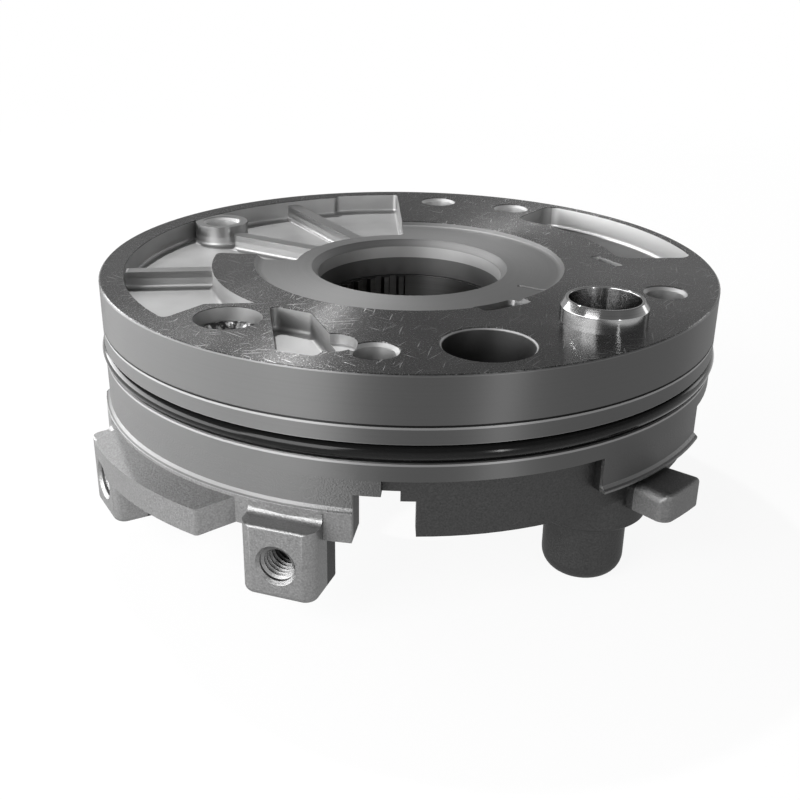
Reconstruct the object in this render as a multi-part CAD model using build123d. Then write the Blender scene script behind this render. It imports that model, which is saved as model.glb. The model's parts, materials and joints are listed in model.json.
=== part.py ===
from build123d import *

import os
from math import atan2, cos, hypot, pi, radians, sin

# Rotor-type oil pump with a round machined body.
# Millimetres.  +Z is up.  The origin is the centre of the top joint face, on the drive axis.
# Angles run anticlockwise from +X, seen from above.

# ---------------------------------------------------------------- body, turned outside
RIM_R = 78.0               # machined outside radius above the ring groove
PILOT_STEP = 0.1
PILOT_R = RIM_R - PILOT_STEP   # machined outside radius below the ring groove
EDGE_BREAK = 0.4           # chamfer on the top edge
SCRIBE_Z = -10.9           # turned witness line
SCRIBE_DEPTH = 0.25
GROOVE_TOP_Z = -15.2
GROOVE_WIDTH = 4.4
GROOVE_DEPTH = 2.9
O_RING_SECTION_R = 1.75
PILOT_LOW_Z = -23.6        # lower edge of the turned band where the casting is cut back
BODY_LOW_Z = -25.0         # underside of the body, and the seat of the cover
PLATE_LOW_Z = -24.2        # cast underside of the flange, outside the cover seat

# ---------------------------------------------------------------- bore and shallow recess round it
BORE_R = 23.7
BORE_CHAMFER = 1.6
RECESS_R = 40.0
RECESS_DEPTH = 1.3
RECESS_FILLET = 2.0

# ---------------------------------------------------------------- oil galleries milled in the top face
GALLERY_DEPTH = 5.5
GALLERY_OUT_R = 72.2
GALLERY_IN_R = 29.6
GALLERY_CORNER = 3.0
GALLERY_FLOOR_FILLET = 1.0
GALLERY_START_ANGLE = 93.0
GALLERY_END_ANGLE = 221.5
GALLERY_TAPER_R = 60.0     # the end wall runs in two straight lines that meet at this radius
GALLERY_TAPER_ANGLE = 218.8
GALLERY_HEEL_ANGLE = 226.0
CORNER_POCKET_ANGLE = 108.0  # where the last gallery steps outwards
CORNER_POCKET_R = 73.8
LAND_OUT_R = 50.5          # outer radius of the land between the recess and the galleries
LAND_END_ANGLE = 175.5
RIB_WIDTH = 3.6
FIRST_RIB_ANGLE = 187.0
FIRST_RIB_IN_R = 48.5
SECOND_RIB_ANGLE = 150.3
SECOND_RIB_OUT_R = 56.5
THIRD_RIB_ANGLE = 120.1
GALLERY_BOSS_R = 7.4       # bolt bosses that stand in the galleries
KIDNEY_START_ANGLE = 5.0
KIDNEY_END_ANGLE = 55.0
KIDNEY_IN_R = 55.0
KIDNEY_OUT_R = 75.4
KIDNEY_DEPTH = 6.3
FRONT_POCKET_HEEL = (49.3, 229.5)    # radius and angle of each corner, from the heel anticlockwise
FRONT_POCKET_INNER = (47.8, 242.6)
FRONT_POCKET_SIDE = (61.6, 255.5)
FRONT_POCKET_RIM_R = 71.6
FRONT_POCKET_RIM_ANGLES = (254.7, 247.5)
FRONT_STEP_R = 5.5         # shallow cutter mark beside the front pocket
FRONT_STEP_DEPTH = 2.4
FRONT_STEP_PCR = 63.0
FRONT_STEP_ANGLE = 255.0
STEP_CUT_IN_R = 36.0
STEP_CUT_OUT_R = 43.0
STEP_CUT_ANGLES = (293.0, 312.0)
STEP_CUT_DEPTH = 2.6
OIL_GROOVE_ANGLE = 329.0
OIL_GROOVE_WIDTH = 1.3
OIL_GROOVE_DEPTH = 0.9
OIL_GROOVE_IN_R = 31.0
OIL_GROOVE_OUT_R = 38.6
SLOT_PCR = 51.5
SLOT_ANGLE = 2.5
SLOT_LENGTH = 10.5
SLOT_WIDTH = 2.8
SLOT_DEPTH = 3.0
SLOT_TURN = -55.0

# ---------------------------------------------------------------- holes in the flange
BOLT_PCR = 65.6
BOLT_ANGLES = (263.7, 338.9, 61.6, 82.0, 146.0)
BOLT_HOLE_R = 4.5
BOLT_CHAMFER = 0.9
BOLT_BOSS_R = 8.0
SUCTION_PCR = 62.6
SUCTION_ANGLE = 285.3
SUCTION_R = 9.9
SUCTION_LOW_Z = -20.5
SUCTION_CHAMFER = 0.6
SUCTION_BOSS_R = 13.0
PLUG_PCR = 61.5
PLUG_ANGLE = 229.4
PLUG_R = 7.7
PLUG_RECESS = 3.4
PLUG_THICKNESS = 5.0
PLUG_SKIRT = 1.2
PLUG_GALLERY_R = 6.0
PLUG_GALLERY_LOW_Z = -19.0
PLUG_BOSS_R = 10.5

# ---------------------------------------------------------------- check valve under the feed sleeve
VALVE_ANGLE = 314.07
SLEEVE_R = 9.8
SLEEVE_HEIGHT = 5.2
SLEEVE_SEAT_DEPTH = 8.0
SLEEVE_BORE_R = 8.0
SLEEVE_RIM_R = 8.7
SLEEVE_RIM_CHAMFER = 1.7
SEAT_HOLE_R = 5.2
SEAT_THICKNESS = 2.0
VALVE_BORE_R = 7.0
VALVE_RIM_WALL = 6.35        # between the valve's bore and the ring groove
VALVE_PCR = RIM_R - GROOVE_DEPTH - VALVE_RIM_WALL - VALVE_BORE_R
VALVE_BORE_LOW_Z = -54.0
VALVE_RUNNING_GAP = 0.08
VALVE_SEAT_GAP = 0.1
VALVE_LENGTH = 15.0
VALVE_WALL = 1.3
VALVE_CROWN = 2.4
VALVE_TOWER_R = 9.7
VALVE_TOWER_LOW_Z = -63.2
VALVE_TOWER_ROUND = 5.0
VALVE_COLLAR_R = 13.8
VALVE_COLLAR_LOW_Z = -46.2
VALVE_COLLAR_EDGE = 0.4
SPRING_END_GAP = 0.1
CHECK_WIRE_R = 0.55
CHECK_COILS = 8

# ---------------------------------------------------------------- cast skirt under the flange
OVERLAP = 0.1                 # of two cuts that join
CUTTER_OVERRUN = 1.0          # by which a cut passes the skirt
SKIRT_SET_BACK = 2.9          # of the thin skirt from the turned band
SKIRT_WALL = 4.5
SKIRT_R = PILOT_R - SKIRT_SET_BACK
SKIRT_IN_R = SKIRT_R - SKIRT_WALL
SKIRT_LOW_Z = -38.0
NOTCH_ROOF_Z = -27.2
DEEP_BAND_LOW_Z = -30.4    # lower edge of the turned band where it runs deeper
CAST_SKIN = 1.0               # of the rough casting over the turned band
CAST_R = PILOT_R + CAST_SKIN
CAST_STEP = 0.9
CUT_BACK_SECTORS = ((266.0, 302.6), (331.5, 552.0))   # skirt cut back to its inner thickness
OPEN_SECTORS = ((356.0, 384.0), (436.0, 458.0), (482.0, 496.0))   # no skirt at all
NOTCH_SECTOR = (261.7, 268.9)
NOTCH_STEP_SECTOR = (268.9, 271.5)
NOTCH_STEP_ROOF_Z = -29.6
UNDERCUT_SECTOR = (302.6, 331.5)   # skirt set back under an overhanging ledge
UNDERCUT_TOP_Z = -31.8

# ---------------------------------------------------------------- lugs on the skirt
LUG_REACH = 5.1               # beyond the cast skirt
LUG_R = CAST_R + LUG_REACH
LUG_TOP_Z = -34.2
LUG_ROOT_ROUND = 1.6
LUG_ROOT_RISE = 2.4           # height of the section above the root's corner
LUG_ROOT_SINK = 0.2           # depth of a shelf's or lug's root in the cast wall
LUG_EDGE_ROUND = 0.8
LUG_SINK = 1.5                # depth of a lug's heel in the skirt's wall
LUG_IN_R = SKIRT_IN_R + LUG_SINK
LUG_WIDTH = 17.0
LUG_LOW_Z = -51.3
LUG_CORNER = 3.0
LUG_FOOT_ROUND = 1.5
LUG_ANGLES = (251.1, 210.6)
LUG_THREAD_R = 4.0
LUG_THREAD_DEPTH = 11.0
LUG_THREAD_CHAMFER = 0.7
LUG_THREAD_Z = -43.0
SHELF_REACH = 5.7
SHELF_TOP_Z = -34.3           # at its outer edge; the shelf rises towards the skirt
SHELF_LOW_Z = -40.7
SHELF_ROOT_Z = -31.9
SHELF_SECTOR = (208.0, 238.0)
SHELF_HEEL_ANGLE = 242.5      # where the slanting end meets the skirt
SHELF_CORNER = 1.8
TAB_SECTOR = (311.2, 321.4)
TAB_REACH = 7.1
TAB_TOP_Z = -33.4
TAB_LOW_Z = -40.2
TAB_ROOT_ROUND = 1.2
TAB_CORNER = 2.6

# ---------------------------------------------------------------- underside
COVER_R = 54.0
COVER_SEAT_R = 56.0
TROUGH_IN_R = 58.5
TROUGH_OUT_R = 70.0
TROUGH_ROOF_Z = -12.5
UNDER_RIBS = 12
UNDER_RIB_WIDTH = 3.5

# ---------------------------------------------------------------- rotor set
INNER_LOBES = 8
OUTER_LOBES = INNER_LOBES + 1
ECCENTRICITY = 3.0
LOBE_CIRCLE_R = 37.8       # pitch radius of the outer rotor's round lobes
LOBE_R = 7.8
ROTOR_GAP = 0.12           # running gap between the lobes
OUTER_ROTOR_R = 42.0
OUTER_ROTOR_GAP = 0.09
ROTOR_TOP_Z = -11.0
ROTOR_END_GAP = 0.05
ECCENTRIC_ANGLE = 90.0
PROFILE_POINTS_PER_LOBE = 10
SPLINE_ROOT_R = 22.7
SPLINE_TIP_R = 21.0
SPLINE_PITCHES = 32
SPLINE_GROUP_TEETH = 5
SPLINE_GROUPS = 3
SPLINE_FIRST_ANGLE = 95.6
PORT_IN_R = 28.5
PORT_OUT_R = 35.0
PORT_DEPTH = 2.6
PORT_CORNER = 2.5
INLET_PORT = (284.0, 427.0)
OUTLET_PORT = (113.0, 256.0)
PASSAGE_IN_R = 33.0
PASSAGE_HEIGHT = 3.6
SUCTION_PASSAGE_WIDTH = 11.0
OUTLET_PASSAGE_WIDTH = 9.0

# ---------------------------------------------------------------- cover, bush and seal
COVER_THICKNESS = 8.0
COVER_HUB_R = 34.0
COVER_HUB_LOW_Z = -46.0
COVER_EDGE = 1.0
COVER_CLEARANCE = 0.4      # between the cover and the castings beside it
BUSH_R = 24.9
BUSH_BORE_R = 22.6
BUSH_LENGTH = 11.0
SEAL_R = 30.0
SEAL_LENGTH = 8.0
SEAL_CASE_WALL = 1.0
SEAL_LIP_R = 22.62           # as it lies open on a hub
SEAL_INSET = 0.4              # of the seal's foot from the hub's face
SEAL_FLANGE = 3.4             # inner edge of the case, outside the lip's edge
LIP_WEB = 1.6                 # thickness of the rubber under the case
LIP_BACK = 4.2
LIP_HEEL = (3.3, 1.2)         # each from the lip's edge and the hub's face
LIP_TOE = (0.6, 0.8)
LIP_EDGE_RISE = 2.4
LIP_SHOULDER = (1.2, 4.4)
LIP_THROAT = 2.6
GARTER_WIRE_R = 0.8
GARTER_SEAT = 4.0             # behind the lip's edge
GARTER_RISE = 2.6
SCREW_COUNT = 7
SCREW_PCR = 49.7
SCREW_FIRST_ANGLE = 90.0
SCREW_R = 3.0
SCREW_HEAD_R = 5.0
SCREW_HEAD_HEIGHT = 5.0
SCREW_SOCKET_R = 2.9
SCREW_SOCKET_DEPTH = 2.6
SCREW_ENGAGEMENT = 11.0
SCREW_END_GAP = 1.0           # between a screw's end and the bottom of its hole
DOWEL_R = 2.5
DOWEL_LENGTH = 11.0
DOWEL_ANGLES = (115.7, 270.0)

# ---------------------------------------------------------------- relief valve, hanging under the third rib
RELIEF_PCR = 62.6
RELIEF_TOWER_R = 7.3
RELIEF_TOWER_LOW_Z = -47.0
RELIEF_BORE_R = 4.6
RELIEF_BORE_TOP_Z = -16.5
RELIEF_RUNNING_GAP = 0.06
RELIEF_PISTON_LENGTH = 10.0
RELIEF_PISTON_WALL = 1.0
RELIEF_PISTON_CROWN = 2.0
RELIEF_DRAIN_R = 1.6
RELIEF_DRAIN_Z = -19.6
RELIEF_PLUG_LENGTH = 7.0
RELIEF_PLUG_HEAD_R = 6.2
RELIEF_PLUG_HEAD = 3.4
RELIEF_PLUG_SOCKET_R = 2.9
RELIEF_PLUG_SOCKET_DEPTH = 2.4
RELIEF_WASHER = 1.0
RELIEF_WASHER_R = 6.8
RELIEF_WIRE_R = 0.45
RELIEF_COILS = 6

# ---------------------------------------------------------------- drillings, and the ball that closes one
DRILLING_R = 1.7
FEED_Z = -8.4              # radial drilling under the third rib, into the outlet port
FEED_IN_R = 33.0
BALL_R = 3.0
BALL_DEPTH = 1.0
TRANSFER_R = 2.5           # drilling from the check valve's bore to the suction bore
TRANSFER_Z = -11.6
TRANSFER_WEB = 9.0
VENT_R = 2.2


def polar(radius, angle):
    """Point at a radius and an angle in degrees."""
    return (radius * cos(radians(angle)), radius * sin(radians(angle)))


def drum(radius, z_top, z_low, at=(0.0, 0.0)):
    """Upright cylinder between two heights."""
    return Pos(at[0], at[1], z_low) * extrude(Circle(radius), z_top - z_low)


def tube(r_out, r_in, z_top, z_low, at=(0.0, 0.0)):
    """Upright ring between two heights."""
    return Pos(at[0], at[1], z_low) * extrude(Circle(r_out) - Circle(r_in), z_top - z_low)


def polar_face(corners, rounding=0.0):
    """Flat face through polar corners: an arc where the radius stays, a line where it changes."""
    edges = []
    for (r_from, a_from), (r_to, a_to) in zip(corners, corners[1:] + corners[:1]):
        if r_from == r_to:
            edges.append(CenterArc((0, 0), r_from, a_from, a_to - a_from))
        else:
            edges.append(Line(polar(r_from, a_from), polar(r_to, a_to)))
    face = make_face(edges)
    return fillet(face.vertices(), rounding) if rounding else face


def sector_face(r_in, r_out, start, end, rounding=0.0):
    """Flat annular sector, with rounded corners where they are asked for."""
    return polar_face([(r_in, end), (r_in, start), (r_out, start), (r_out, end)], rounding)


def prism(face, z_top, z_low):
    """Flat face raised between two heights."""
    return Pos(0, 0, z_low) * extrude(face, z_top - z_low, dir=(0, 0, 1))


def sector(r_in, r_out, start, end, z_top, z_low, rounding=0.0):
    """Annular sector as a solid between two heights."""
    return prism(sector_face(r_in, r_out, start, end, rounding), z_top, z_low)


def lead(radius, depth, at):
    """Countersink for a hole in the top face."""
    rise = 2 * depth
    return Pos(*at, -depth) * Cone(radius, radius + rise, rise, align=(Align.CENTER, Align.CENTER, Align.MIN))


def turned(points, start=0.0, span=360.0):
    """Solid turned from a radius and height outline, over part or all of the circle."""
    outline = Plane.XZ * Polygon(*points, align=None)
    return Rot(0, 0, start) * revolve(outline, Axis.Z, span)


def rounded_floor(cutter, radius):
    """Cutter with its lowest edges rounded, so that it leaves a filleted floor."""
    return fillet(cutter.faces().group_by(Axis.Z)[0].edges(), radius)


# ---------------------------------------------------------------- housing, outside

def turned_body():
    """Flange, cover seat and full skirt, with the edge break, witness line, ring groove and ledge."""
    groove_low = GROOVE_TOP_Z - GROOVE_WIDTH
    return turned([
        (0, 0), (RIM_R - EDGE_BREAK, 0), (RIM_R, -EDGE_BREAK),
        (RIM_R, SCRIBE_Z), (RIM_R - SCRIBE_DEPTH, SCRIBE_Z - SCRIBE_DEPTH),
        (RIM_R, SCRIBE_Z - 2 * SCRIBE_DEPTH),
        (RIM_R, GROOVE_TOP_Z), (RIM_R - GROOVE_DEPTH, GROOVE_TOP_Z),
        (RIM_R - GROOVE_DEPTH, groove_low), (PILOT_R, groove_low),
        (PILOT_R, DEEP_BAND_LOW_Z), (CAST_R, DEEP_BAND_LOW_Z - CAST_STEP),
        (CAST_R, SKIRT_LOW_Z), (SKIRT_IN_R, SKIRT_LOW_Z), (SKIRT_IN_R, PLATE_LOW_Z),
        (COVER_SEAT_R, PLATE_LOW_Z), (COVER_SEAT_R, BODY_LOW_Z), (0, BODY_LOW_Z),
    ])


def skirt_cuts():
    """Cast recesses in the skirt: stretches set back, stretches left open, and the front notch."""
    far = CAST_R + CUTTER_OVERRUN
    near = SKIRT_IN_R - CUTTER_OVERRUN
    low = SKIRT_LOW_Z - CUTTER_OVERRUN
    cuts = [sector(SKIRT_R, far, *span, PILOT_LOW_Z, low) for span in CUT_BACK_SECTORS]
    cuts += [sector(near, far, *span, PLATE_LOW_Z, low) for span in OPEN_SECTORS]
    cuts += [sector(near, far, *NOTCH_SECTOR, NOTCH_ROOF_Z, low)]
    cuts += [sector(near, far, *NOTCH_STEP_SECTOR, NOTCH_STEP_ROOF_Z, low)]
    cuts += [sector(SKIRT_R, far, *UNDERCUT_SECTOR, UNDERCUT_TOP_Z, low)]
    return cuts


def ledge_face(root_r, radius, z_top, z_low, root_round):
    """Section of a lug or tab with a rounded front edge and a coved root on the wall."""
    root_top = z_top + LUG_ROOT_RISE
    section = Polygon((LUG_IN_R, root_top), (root_r, root_top), (root_r, z_top), (radius, z_top),
                      (radius, z_low), (LUG_IN_R, z_low), align=None)
    root = section.vertices().sort_by_distance((root_r, z_top))[0]
    section = fillet(root, root_round)
    front = section.vertices().sort_by_distance((radius, z_top))[0]
    return Plane.XZ * fillet(front, LUG_EDGE_ROUND)


def round_uprights(body, reach, radius):
    """Body with its upright edges beyond a reach rounded."""
    upright = [e for e in body.edges().filter_by(Axis.Z) if hypot(e.center().X, e.center().Y) > reach]
    return fillet(upright, radius)


def shelf():
    """Sloping shelf round part of the skirt, with one slanting end."""
    radius = CAST_R + SHELF_REACH
    root_r = CAST_R - LUG_ROOT_SINK
    start, end = SHELF_SECTOR
    section = Polygon((LUG_IN_R, SHELF_ROOT_Z), (root_r, SHELF_ROOT_Z), (radius, SHELF_TOP_Z),
                      (radius, SHELF_LOW_Z), (root_r, SKIRT_LOW_Z), (LUG_IN_R, SKIRT_LOW_Z), align=None)
    ring = Rot(0, 0, start) * revolve(Plane.XZ * section, Axis.Z, SHELF_HEEL_ANGLE - start)
    near, far = 0.9 * LUG_IN_R, 1.3 * radius
    plan = Polygon(polar(near, start), polar(far, start), polar(far, end), polar(radius, end),
                   polar(root_r, SHELF_HEEL_ANGLE), polar(near, SHELF_HEEL_ANGLE), align=None)
    return round_uprights(ring & prism(plan, 0, SHELF_LOW_Z - 1), radius - LUG_EDGE_ROUND, SHELF_CORNER)


def tab():
    """Short tab that stands out under the undercut ledge."""
    radius = CAST_R + TAB_REACH
    start, end = TAB_SECTOR
    section = ledge_face(SKIRT_R - LUG_ROOT_SINK, radius, TAB_TOP_Z, TAB_LOW_Z, TAB_ROOT_ROUND)
    body = Rot(0, 0, start) * revolve(section, Axis.Z, end - start)
    return round_uprights(body, radius - LUG_EDGE_ROUND, TAB_CORNER)


def lug(angle):
    """Square lug that hangs below the skirt, with rounded upright and lower corners."""
    length = LUG_R - LUG_IN_R
    plan = Pos(LUG_IN_R + length / 2, 0) * Rectangle(length, LUG_WIDTH)
    plan = fillet(plan.vertices().sort_by(Axis.X)[-2:], LUG_CORNER)
    post = rounded_floor(prism(plan, DEEP_BAND_LOW_Z - CAST_STEP, LUG_LOW_Z), LUG_FOOT_ROUND)
    section = ledge_face(CAST_R - LUG_ROOT_SINK, LUG_R, LUG_TOP_Z, LUG_LOW_Z - 1, LUG_ROOT_ROUND)
    return Rot(0, 0, angle) * (post & extrude(section, LUG_WIDTH, both=True))


def lug_thread(angle):
    """Drilled and chamfered hole for a lug's thread, blind from outside."""
    drill = extrude(Circle(LUG_THREAD_R), LUG_THREAD_DEPTH + 1)
    mouth = Pos(0, 0, LUG_THREAD_DEPTH - LUG_THREAD_CHAMFER) * Cone(
        LUG_THREAD_R, LUG_THREAD_R + 2 * LUG_THREAD_CHAMFER, 2 * LUG_THREAD_CHAMFER,
        align=(Align.CENTER, Align.CENTER, Align.MIN))
    place = Rot(0, 0, angle) * Pos(LUG_R - LUG_THREAD_DEPTH, 0, LUG_THREAD_Z) * Rot(0, 90, 0)
    return place * (drill + mouth)


def valve_tower():
    """Collar and blind round-ended tower that hold the check valve."""
    at = valve_at()
    tower = drum(VALVE_TOWER_R, PLATE_LOW_Z + 1, VALVE_TOWER_LOW_Z, at)
    tower = fillet(tower.faces().sort_by(Axis.Z)[0].edges(), VALVE_TOWER_ROUND)
    collar = drum(VALVE_COLLAR_R, PLATE_LOW_Z + 1, VALVE_COLLAR_LOW_Z, at)
    collar = chamfer(collar.faces().sort_by(Axis.Z)[0].edges(), VALVE_COLLAR_EDGE)
    return tower + (collar - drum(COVER_R + COVER_CLEARANCE, BODY_LOW_Z, VALVE_COLLAR_LOW_Z - 1))


def relief_at():
    """Centre of the relief valve."""
    return polar(RELIEF_PCR, THIRD_RIB_ANGLE)


def relief_tower():
    """Round boss under the flange for the relief valve."""
    tower = drum(RELIEF_TOWER_R, PLATE_LOW_Z + 1, RELIEF_TOWER_LOW_Z, relief_at())
    return chamfer(tower.faces().sort_by(Axis.Z)[0].edges(), 0.6)


def relief_bores():
    """Bore of the relief valve, its drain into the trough, and the drillings that feed it."""
    bore = drum(RELIEF_BORE_R, RELIEF_BORE_TOP_Z, RELIEF_TOWER_LOW_Z - 1, relief_at())
    upright = drum(DRILLING_R, FEED_Z, RELIEF_BORE_TOP_Z - 1, relief_at())
    spoke = Rot(0, 0, THIRD_RIB_ANGLE)
    drain = spoke * Pos(RELIEF_PCR, 0, RELIEF_DRAIN_Z) * Rot(-90, 0, 0) * extrude(
        Circle(RELIEF_DRAIN_R), 2 * RELIEF_TOWER_R)
    inward = Rot(0, 90, 0)
    radial = spoke * Pos(FEED_IN_R, 0, FEED_Z) * inward * extrude(Circle(DRILLING_R), RIM_R - FEED_IN_R + 1)
    seat_depth = 2 * BALL_R + BALL_DEPTH
    ball_seat = spoke * Pos(RIM_R - seat_depth, 0, FEED_Z) * inward * extrude(Circle(BALL_R), seat_depth + 1)
    return [bore, drain, upright, radial, ball_seat]


# ---------------------------------------------------------------- housing, underside

def trough():
    """Lightening trough round the underside, left solid at ribs and bosses."""
    plan = Circle(TROUGH_OUT_R) - Circle(TROUGH_IN_R)
    middle = (TROUGH_IN_R + TROUGH_OUT_R) / 2
    width = TROUGH_OUT_R - TROUGH_IN_R + 4
    for n in range(UNDER_RIBS):
        plan -= Rot(0, 0, (n + 0.5) * 360 / UNDER_RIBS) * Pos(middle, 0) * Rectangle(width, UNDER_RIB_WIDTH)
    bosses = [(BOLT_BOSS_R, polar(BOLT_PCR, angle)) for angle in BOLT_ANGLES]
    bosses += [(SUCTION_BOSS_R, suction_at()), (PLUG_BOSS_R, plug_at()), (VALVE_COLLAR_R, valve_at()),
               (RELIEF_TOWER_R, relief_at())]
    for radius, at in bosses:
        plan -= Pos(*at) * Circle(radius)
    plan -= transfer_place() * Rectangle(2 * transfer_length(), TRANSFER_WEB)
    return prism(plan, TROUGH_ROOF_Z, BODY_LOW_Z - 1)


def suction_at():
    """Centre of the suction bore."""
    return polar(SUCTION_PCR, SUCTION_ANGLE)


def valve_at():
    """Centre of the check valve and its sleeve."""
    return polar(VALVE_PCR, VALVE_ANGLE)


def plug_at():
    """Centre of the gallery plug."""
    return polar(PLUG_PCR, PLUG_ANGLE)


def transfer_length():
    """Distance from the suction bore to the check valve's bore."""
    (x0, y0), (x1, y1) = suction_at(), valve_at()
    return hypot(x1 - x0, y1 - y0)


def transfer_place():
    """Frame at the suction bore whose X axis points to the check valve."""
    (x0, y0), (x1, y1) = suction_at(), valve_at()
    return Pos(x0, y0) * Rot(0, 0, atan2(y1 - y0, x1 - x0) * 180 / pi)


def transfer_drilling():
    """Drilling that returns the check valve's flow to the suction bore."""
    drill = extrude(Circle(TRANSFER_R), transfer_length())
    return Pos(0, 0, TRANSFER_Z) * transfer_place() * Rot(0, 90, 0) * drill


def rotor_cavity():
    """Round cavity for the rotors, with the inlet and outlet ports in its roof."""
    centre = polar(ECCENTRICITY, ECCENTRIC_ANGLE)
    cavity = drum(OUTER_ROTOR_R + OUTER_ROTOR_GAP, ROTOR_TOP_Z, BODY_LOW_Z - 1, centre)
    for span in (INLET_PORT, OUTLET_PORT):
        cavity += sector(PORT_IN_R, PORT_OUT_R, *span, ROTOR_TOP_Z + PORT_DEPTH, ROTOR_TOP_Z - 1, PORT_CORNER)
    return cavity


def passage(radius, angle, width):
    """Cored radial passage from a port in the cavity roof out to a bore."""
    length = radius - PASSAGE_IN_R
    return Rot(0, 0, angle) * Pos(
        PASSAGE_IN_R + length / 2, 0, ROTOR_TOP_Z + PORT_DEPTH - PASSAGE_HEIGHT / 2) * Box(
        length, width, PASSAGE_HEIGHT)


def suction_bore():
    """Suction bore in the top face."""
    return drum(SUCTION_R, 1, SUCTION_LOW_Z, suction_at()) + lead(SUCTION_R, SUCTION_CHAMFER, suction_at())


# ---------------------------------------------------------------- housing, top face

def bore_and_recess():
    """Drive bore with its chamfer, and the shallow coved recess round it."""
    cove_r = RECESS_R - RECESS_FILLET
    floor_z = -RECESS_DEPTH
    mid = (RECESS_R - 0.45 * RECESS_FILLET, 0.72 * floor_z)
    chamfer_r = BORE_R + BORE_CHAMFER
    return turned([
        (0, 1), (RECESS_R + 0.1, 1), (RECESS_R, 0), mid, (cove_r, floor_z), (chamfer_r, floor_z),
        (BORE_R, floor_z - BORE_CHAMFER), (BORE_R, BODY_LOW_Z - 1), (0, BODY_LOW_Z - 1),
    ])


def radial_rib(angle, r_in, r_out):
    """Plan of a rib with a round nose at each end."""
    length = r_out - r_in
    return Rot(0, 0, angle) * Pos(r_in + length / 2, 0) * SlotOverall(length, RIB_WIDTH)


def gallery_plan():
    """Outline of the chain of galleries from the back round the left to the front."""
    return polar_face([
        (GALLERY_IN_R, LAND_END_ANGLE), (GALLERY_IN_R, GALLERY_START_ANGLE),
        (CORNER_POCKET_R, GALLERY_START_ANGLE), (CORNER_POCKET_R, CORNER_POCKET_ANGLE),
        (GALLERY_OUT_R, CORNER_POCKET_ANGLE + 1), (GALLERY_OUT_R, GALLERY_END_ANGLE),
        (GALLERY_TAPER_R, GALLERY_TAPER_ANGLE), (LAND_OUT_R, GALLERY_HEEL_ANGLE),
        (LAND_OUT_R, LAND_END_ANGLE),
    ])


def galleries():
    """Galleries with standing ribs whose tops are level with the recess floor."""
    plan = gallery_plan()
    corners = [v for v in plan.vertices() if abs(hypot(v.X, v.Y) - LAND_OUT_R) > 1 or v.X < -LAND_OUT_R + 5]
    plan = fillet(corners, GALLERY_CORNER / 2)
    plan -= Pos(*polar(BOLT_PCR, BOLT_ANGLES[4])) * Circle(GALLERY_BOSS_R)
    ribbed = plan - radial_rib(FIRST_RIB_ANGLE, FIRST_RIB_IN_R, GALLERY_OUT_R + RIB_WIDTH)
    ribbed -= radial_rib(SECOND_RIB_ANGLE, GALLERY_IN_R - RIB_WIDTH, SECOND_RIB_OUT_R)
    ribbed -= radial_rib(THIRD_RIB_ANGLE, GALLERY_IN_R - RIB_WIDTH, GALLERY_OUT_R + RIB_WIDTH)
    lower = prism(ribbed, OVERLAP - RECESS_DEPTH, -GALLERY_DEPTH)
    return [prism(plan, 1, -RECESS_DEPTH), rounded_floor(lower, GALLERY_FLOOR_FILLET)]


def kidney():
    """Long gallery near the rim at the back right."""
    plan = sector_face(KIDNEY_IN_R, KIDNEY_OUT_R, KIDNEY_START_ANGLE, KIDNEY_END_ANGLE, 4.0)
    plan -= Pos(*polar(BOLT_PCR, BOLT_ANGLES[2])) * Circle(GALLERY_BOSS_R)
    return rounded_floor(prism(plan, 1, -KIDNEY_DEPTH), GALLERY_FLOOR_FILLET)


def front_pocket():
    """Milled pocket at the front left."""
    rim = [(FRONT_POCKET_RIM_R, angle) for angle in FRONT_POCKET_RIM_ANGLES]
    plan = polar_face([FRONT_POCKET_HEEL, FRONT_POCKET_INNER, FRONT_POCKET_SIDE] + rim, 1.6)
    return rounded_floor(prism(plan, 1, -GALLERY_DEPTH), GALLERY_FLOOR_FILLET)


def small_face_cuts():
    """Cutter step, notch, oil groove and slot in the top face."""
    step = drum(FRONT_STEP_R, 1, -FRONT_STEP_DEPTH, polar(FRONT_STEP_PCR, FRONT_STEP_ANGLE))
    notch = sector(STEP_CUT_IN_R, STEP_CUT_OUT_R, *STEP_CUT_ANGLES, 1, -STEP_CUT_DEPTH, 1.5)
    groove_length = OIL_GROOVE_OUT_R - OIL_GROOVE_IN_R
    groove = Rot(0, 0, OIL_GROOVE_ANGLE) * Pos(OIL_GROOVE_IN_R + groove_length / 2, 0) * prism(
        SlotOverall(groove_length, OIL_GROOVE_WIDTH), 0, -RECESS_DEPTH - OIL_GROOVE_DEPTH)
    slot = Pos(*polar(SLOT_PCR, SLOT_ANGLE)) * Rot(0, 0, SLOT_TURN) * prism(
        SlotOverall(SLOT_LENGTH, SLOT_WIDTH), 1, -SLOT_DEPTH)
    return [step, notch, groove, slot]


def bolt_hole(angle):
    """Through hole for a flange bolt, chamfered at the top."""
    at = polar(BOLT_PCR, angle)
    return drum(BOLT_HOLE_R, 1, SKIRT_LOW_Z, at) + lead(BOLT_HOLE_R, BOLT_CHAMFER, at)


def plug_bore():
    """Recess for the pressed plug and the outlet gallery below it."""
    return drum(PLUG_R, 1, -PLUG_RECESS - PLUG_THICKNESS, plug_at()) + drum(
        PLUG_GALLERY_R, -PLUG_RECESS, PLUG_GALLERY_LOW_Z, plug_at())


def valve_bores():
    """Seat for the feed sleeve, the bore of the check valve below it, and its vent."""
    seat = drum(SLEEVE_R, 1, -SLEEVE_SEAT_DEPTH, valve_at())
    bore = drum(VALVE_BORE_R, -SLEEVE_SEAT_DEPTH + 1, VALVE_BORE_LOW_Z, valve_at())
    vent = drum(VENT_R, VALVE_BORE_LOW_Z + 1, VALVE_TOWER_LOW_Z - 1, valve_at())
    return [seat, bore, vent]


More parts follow.
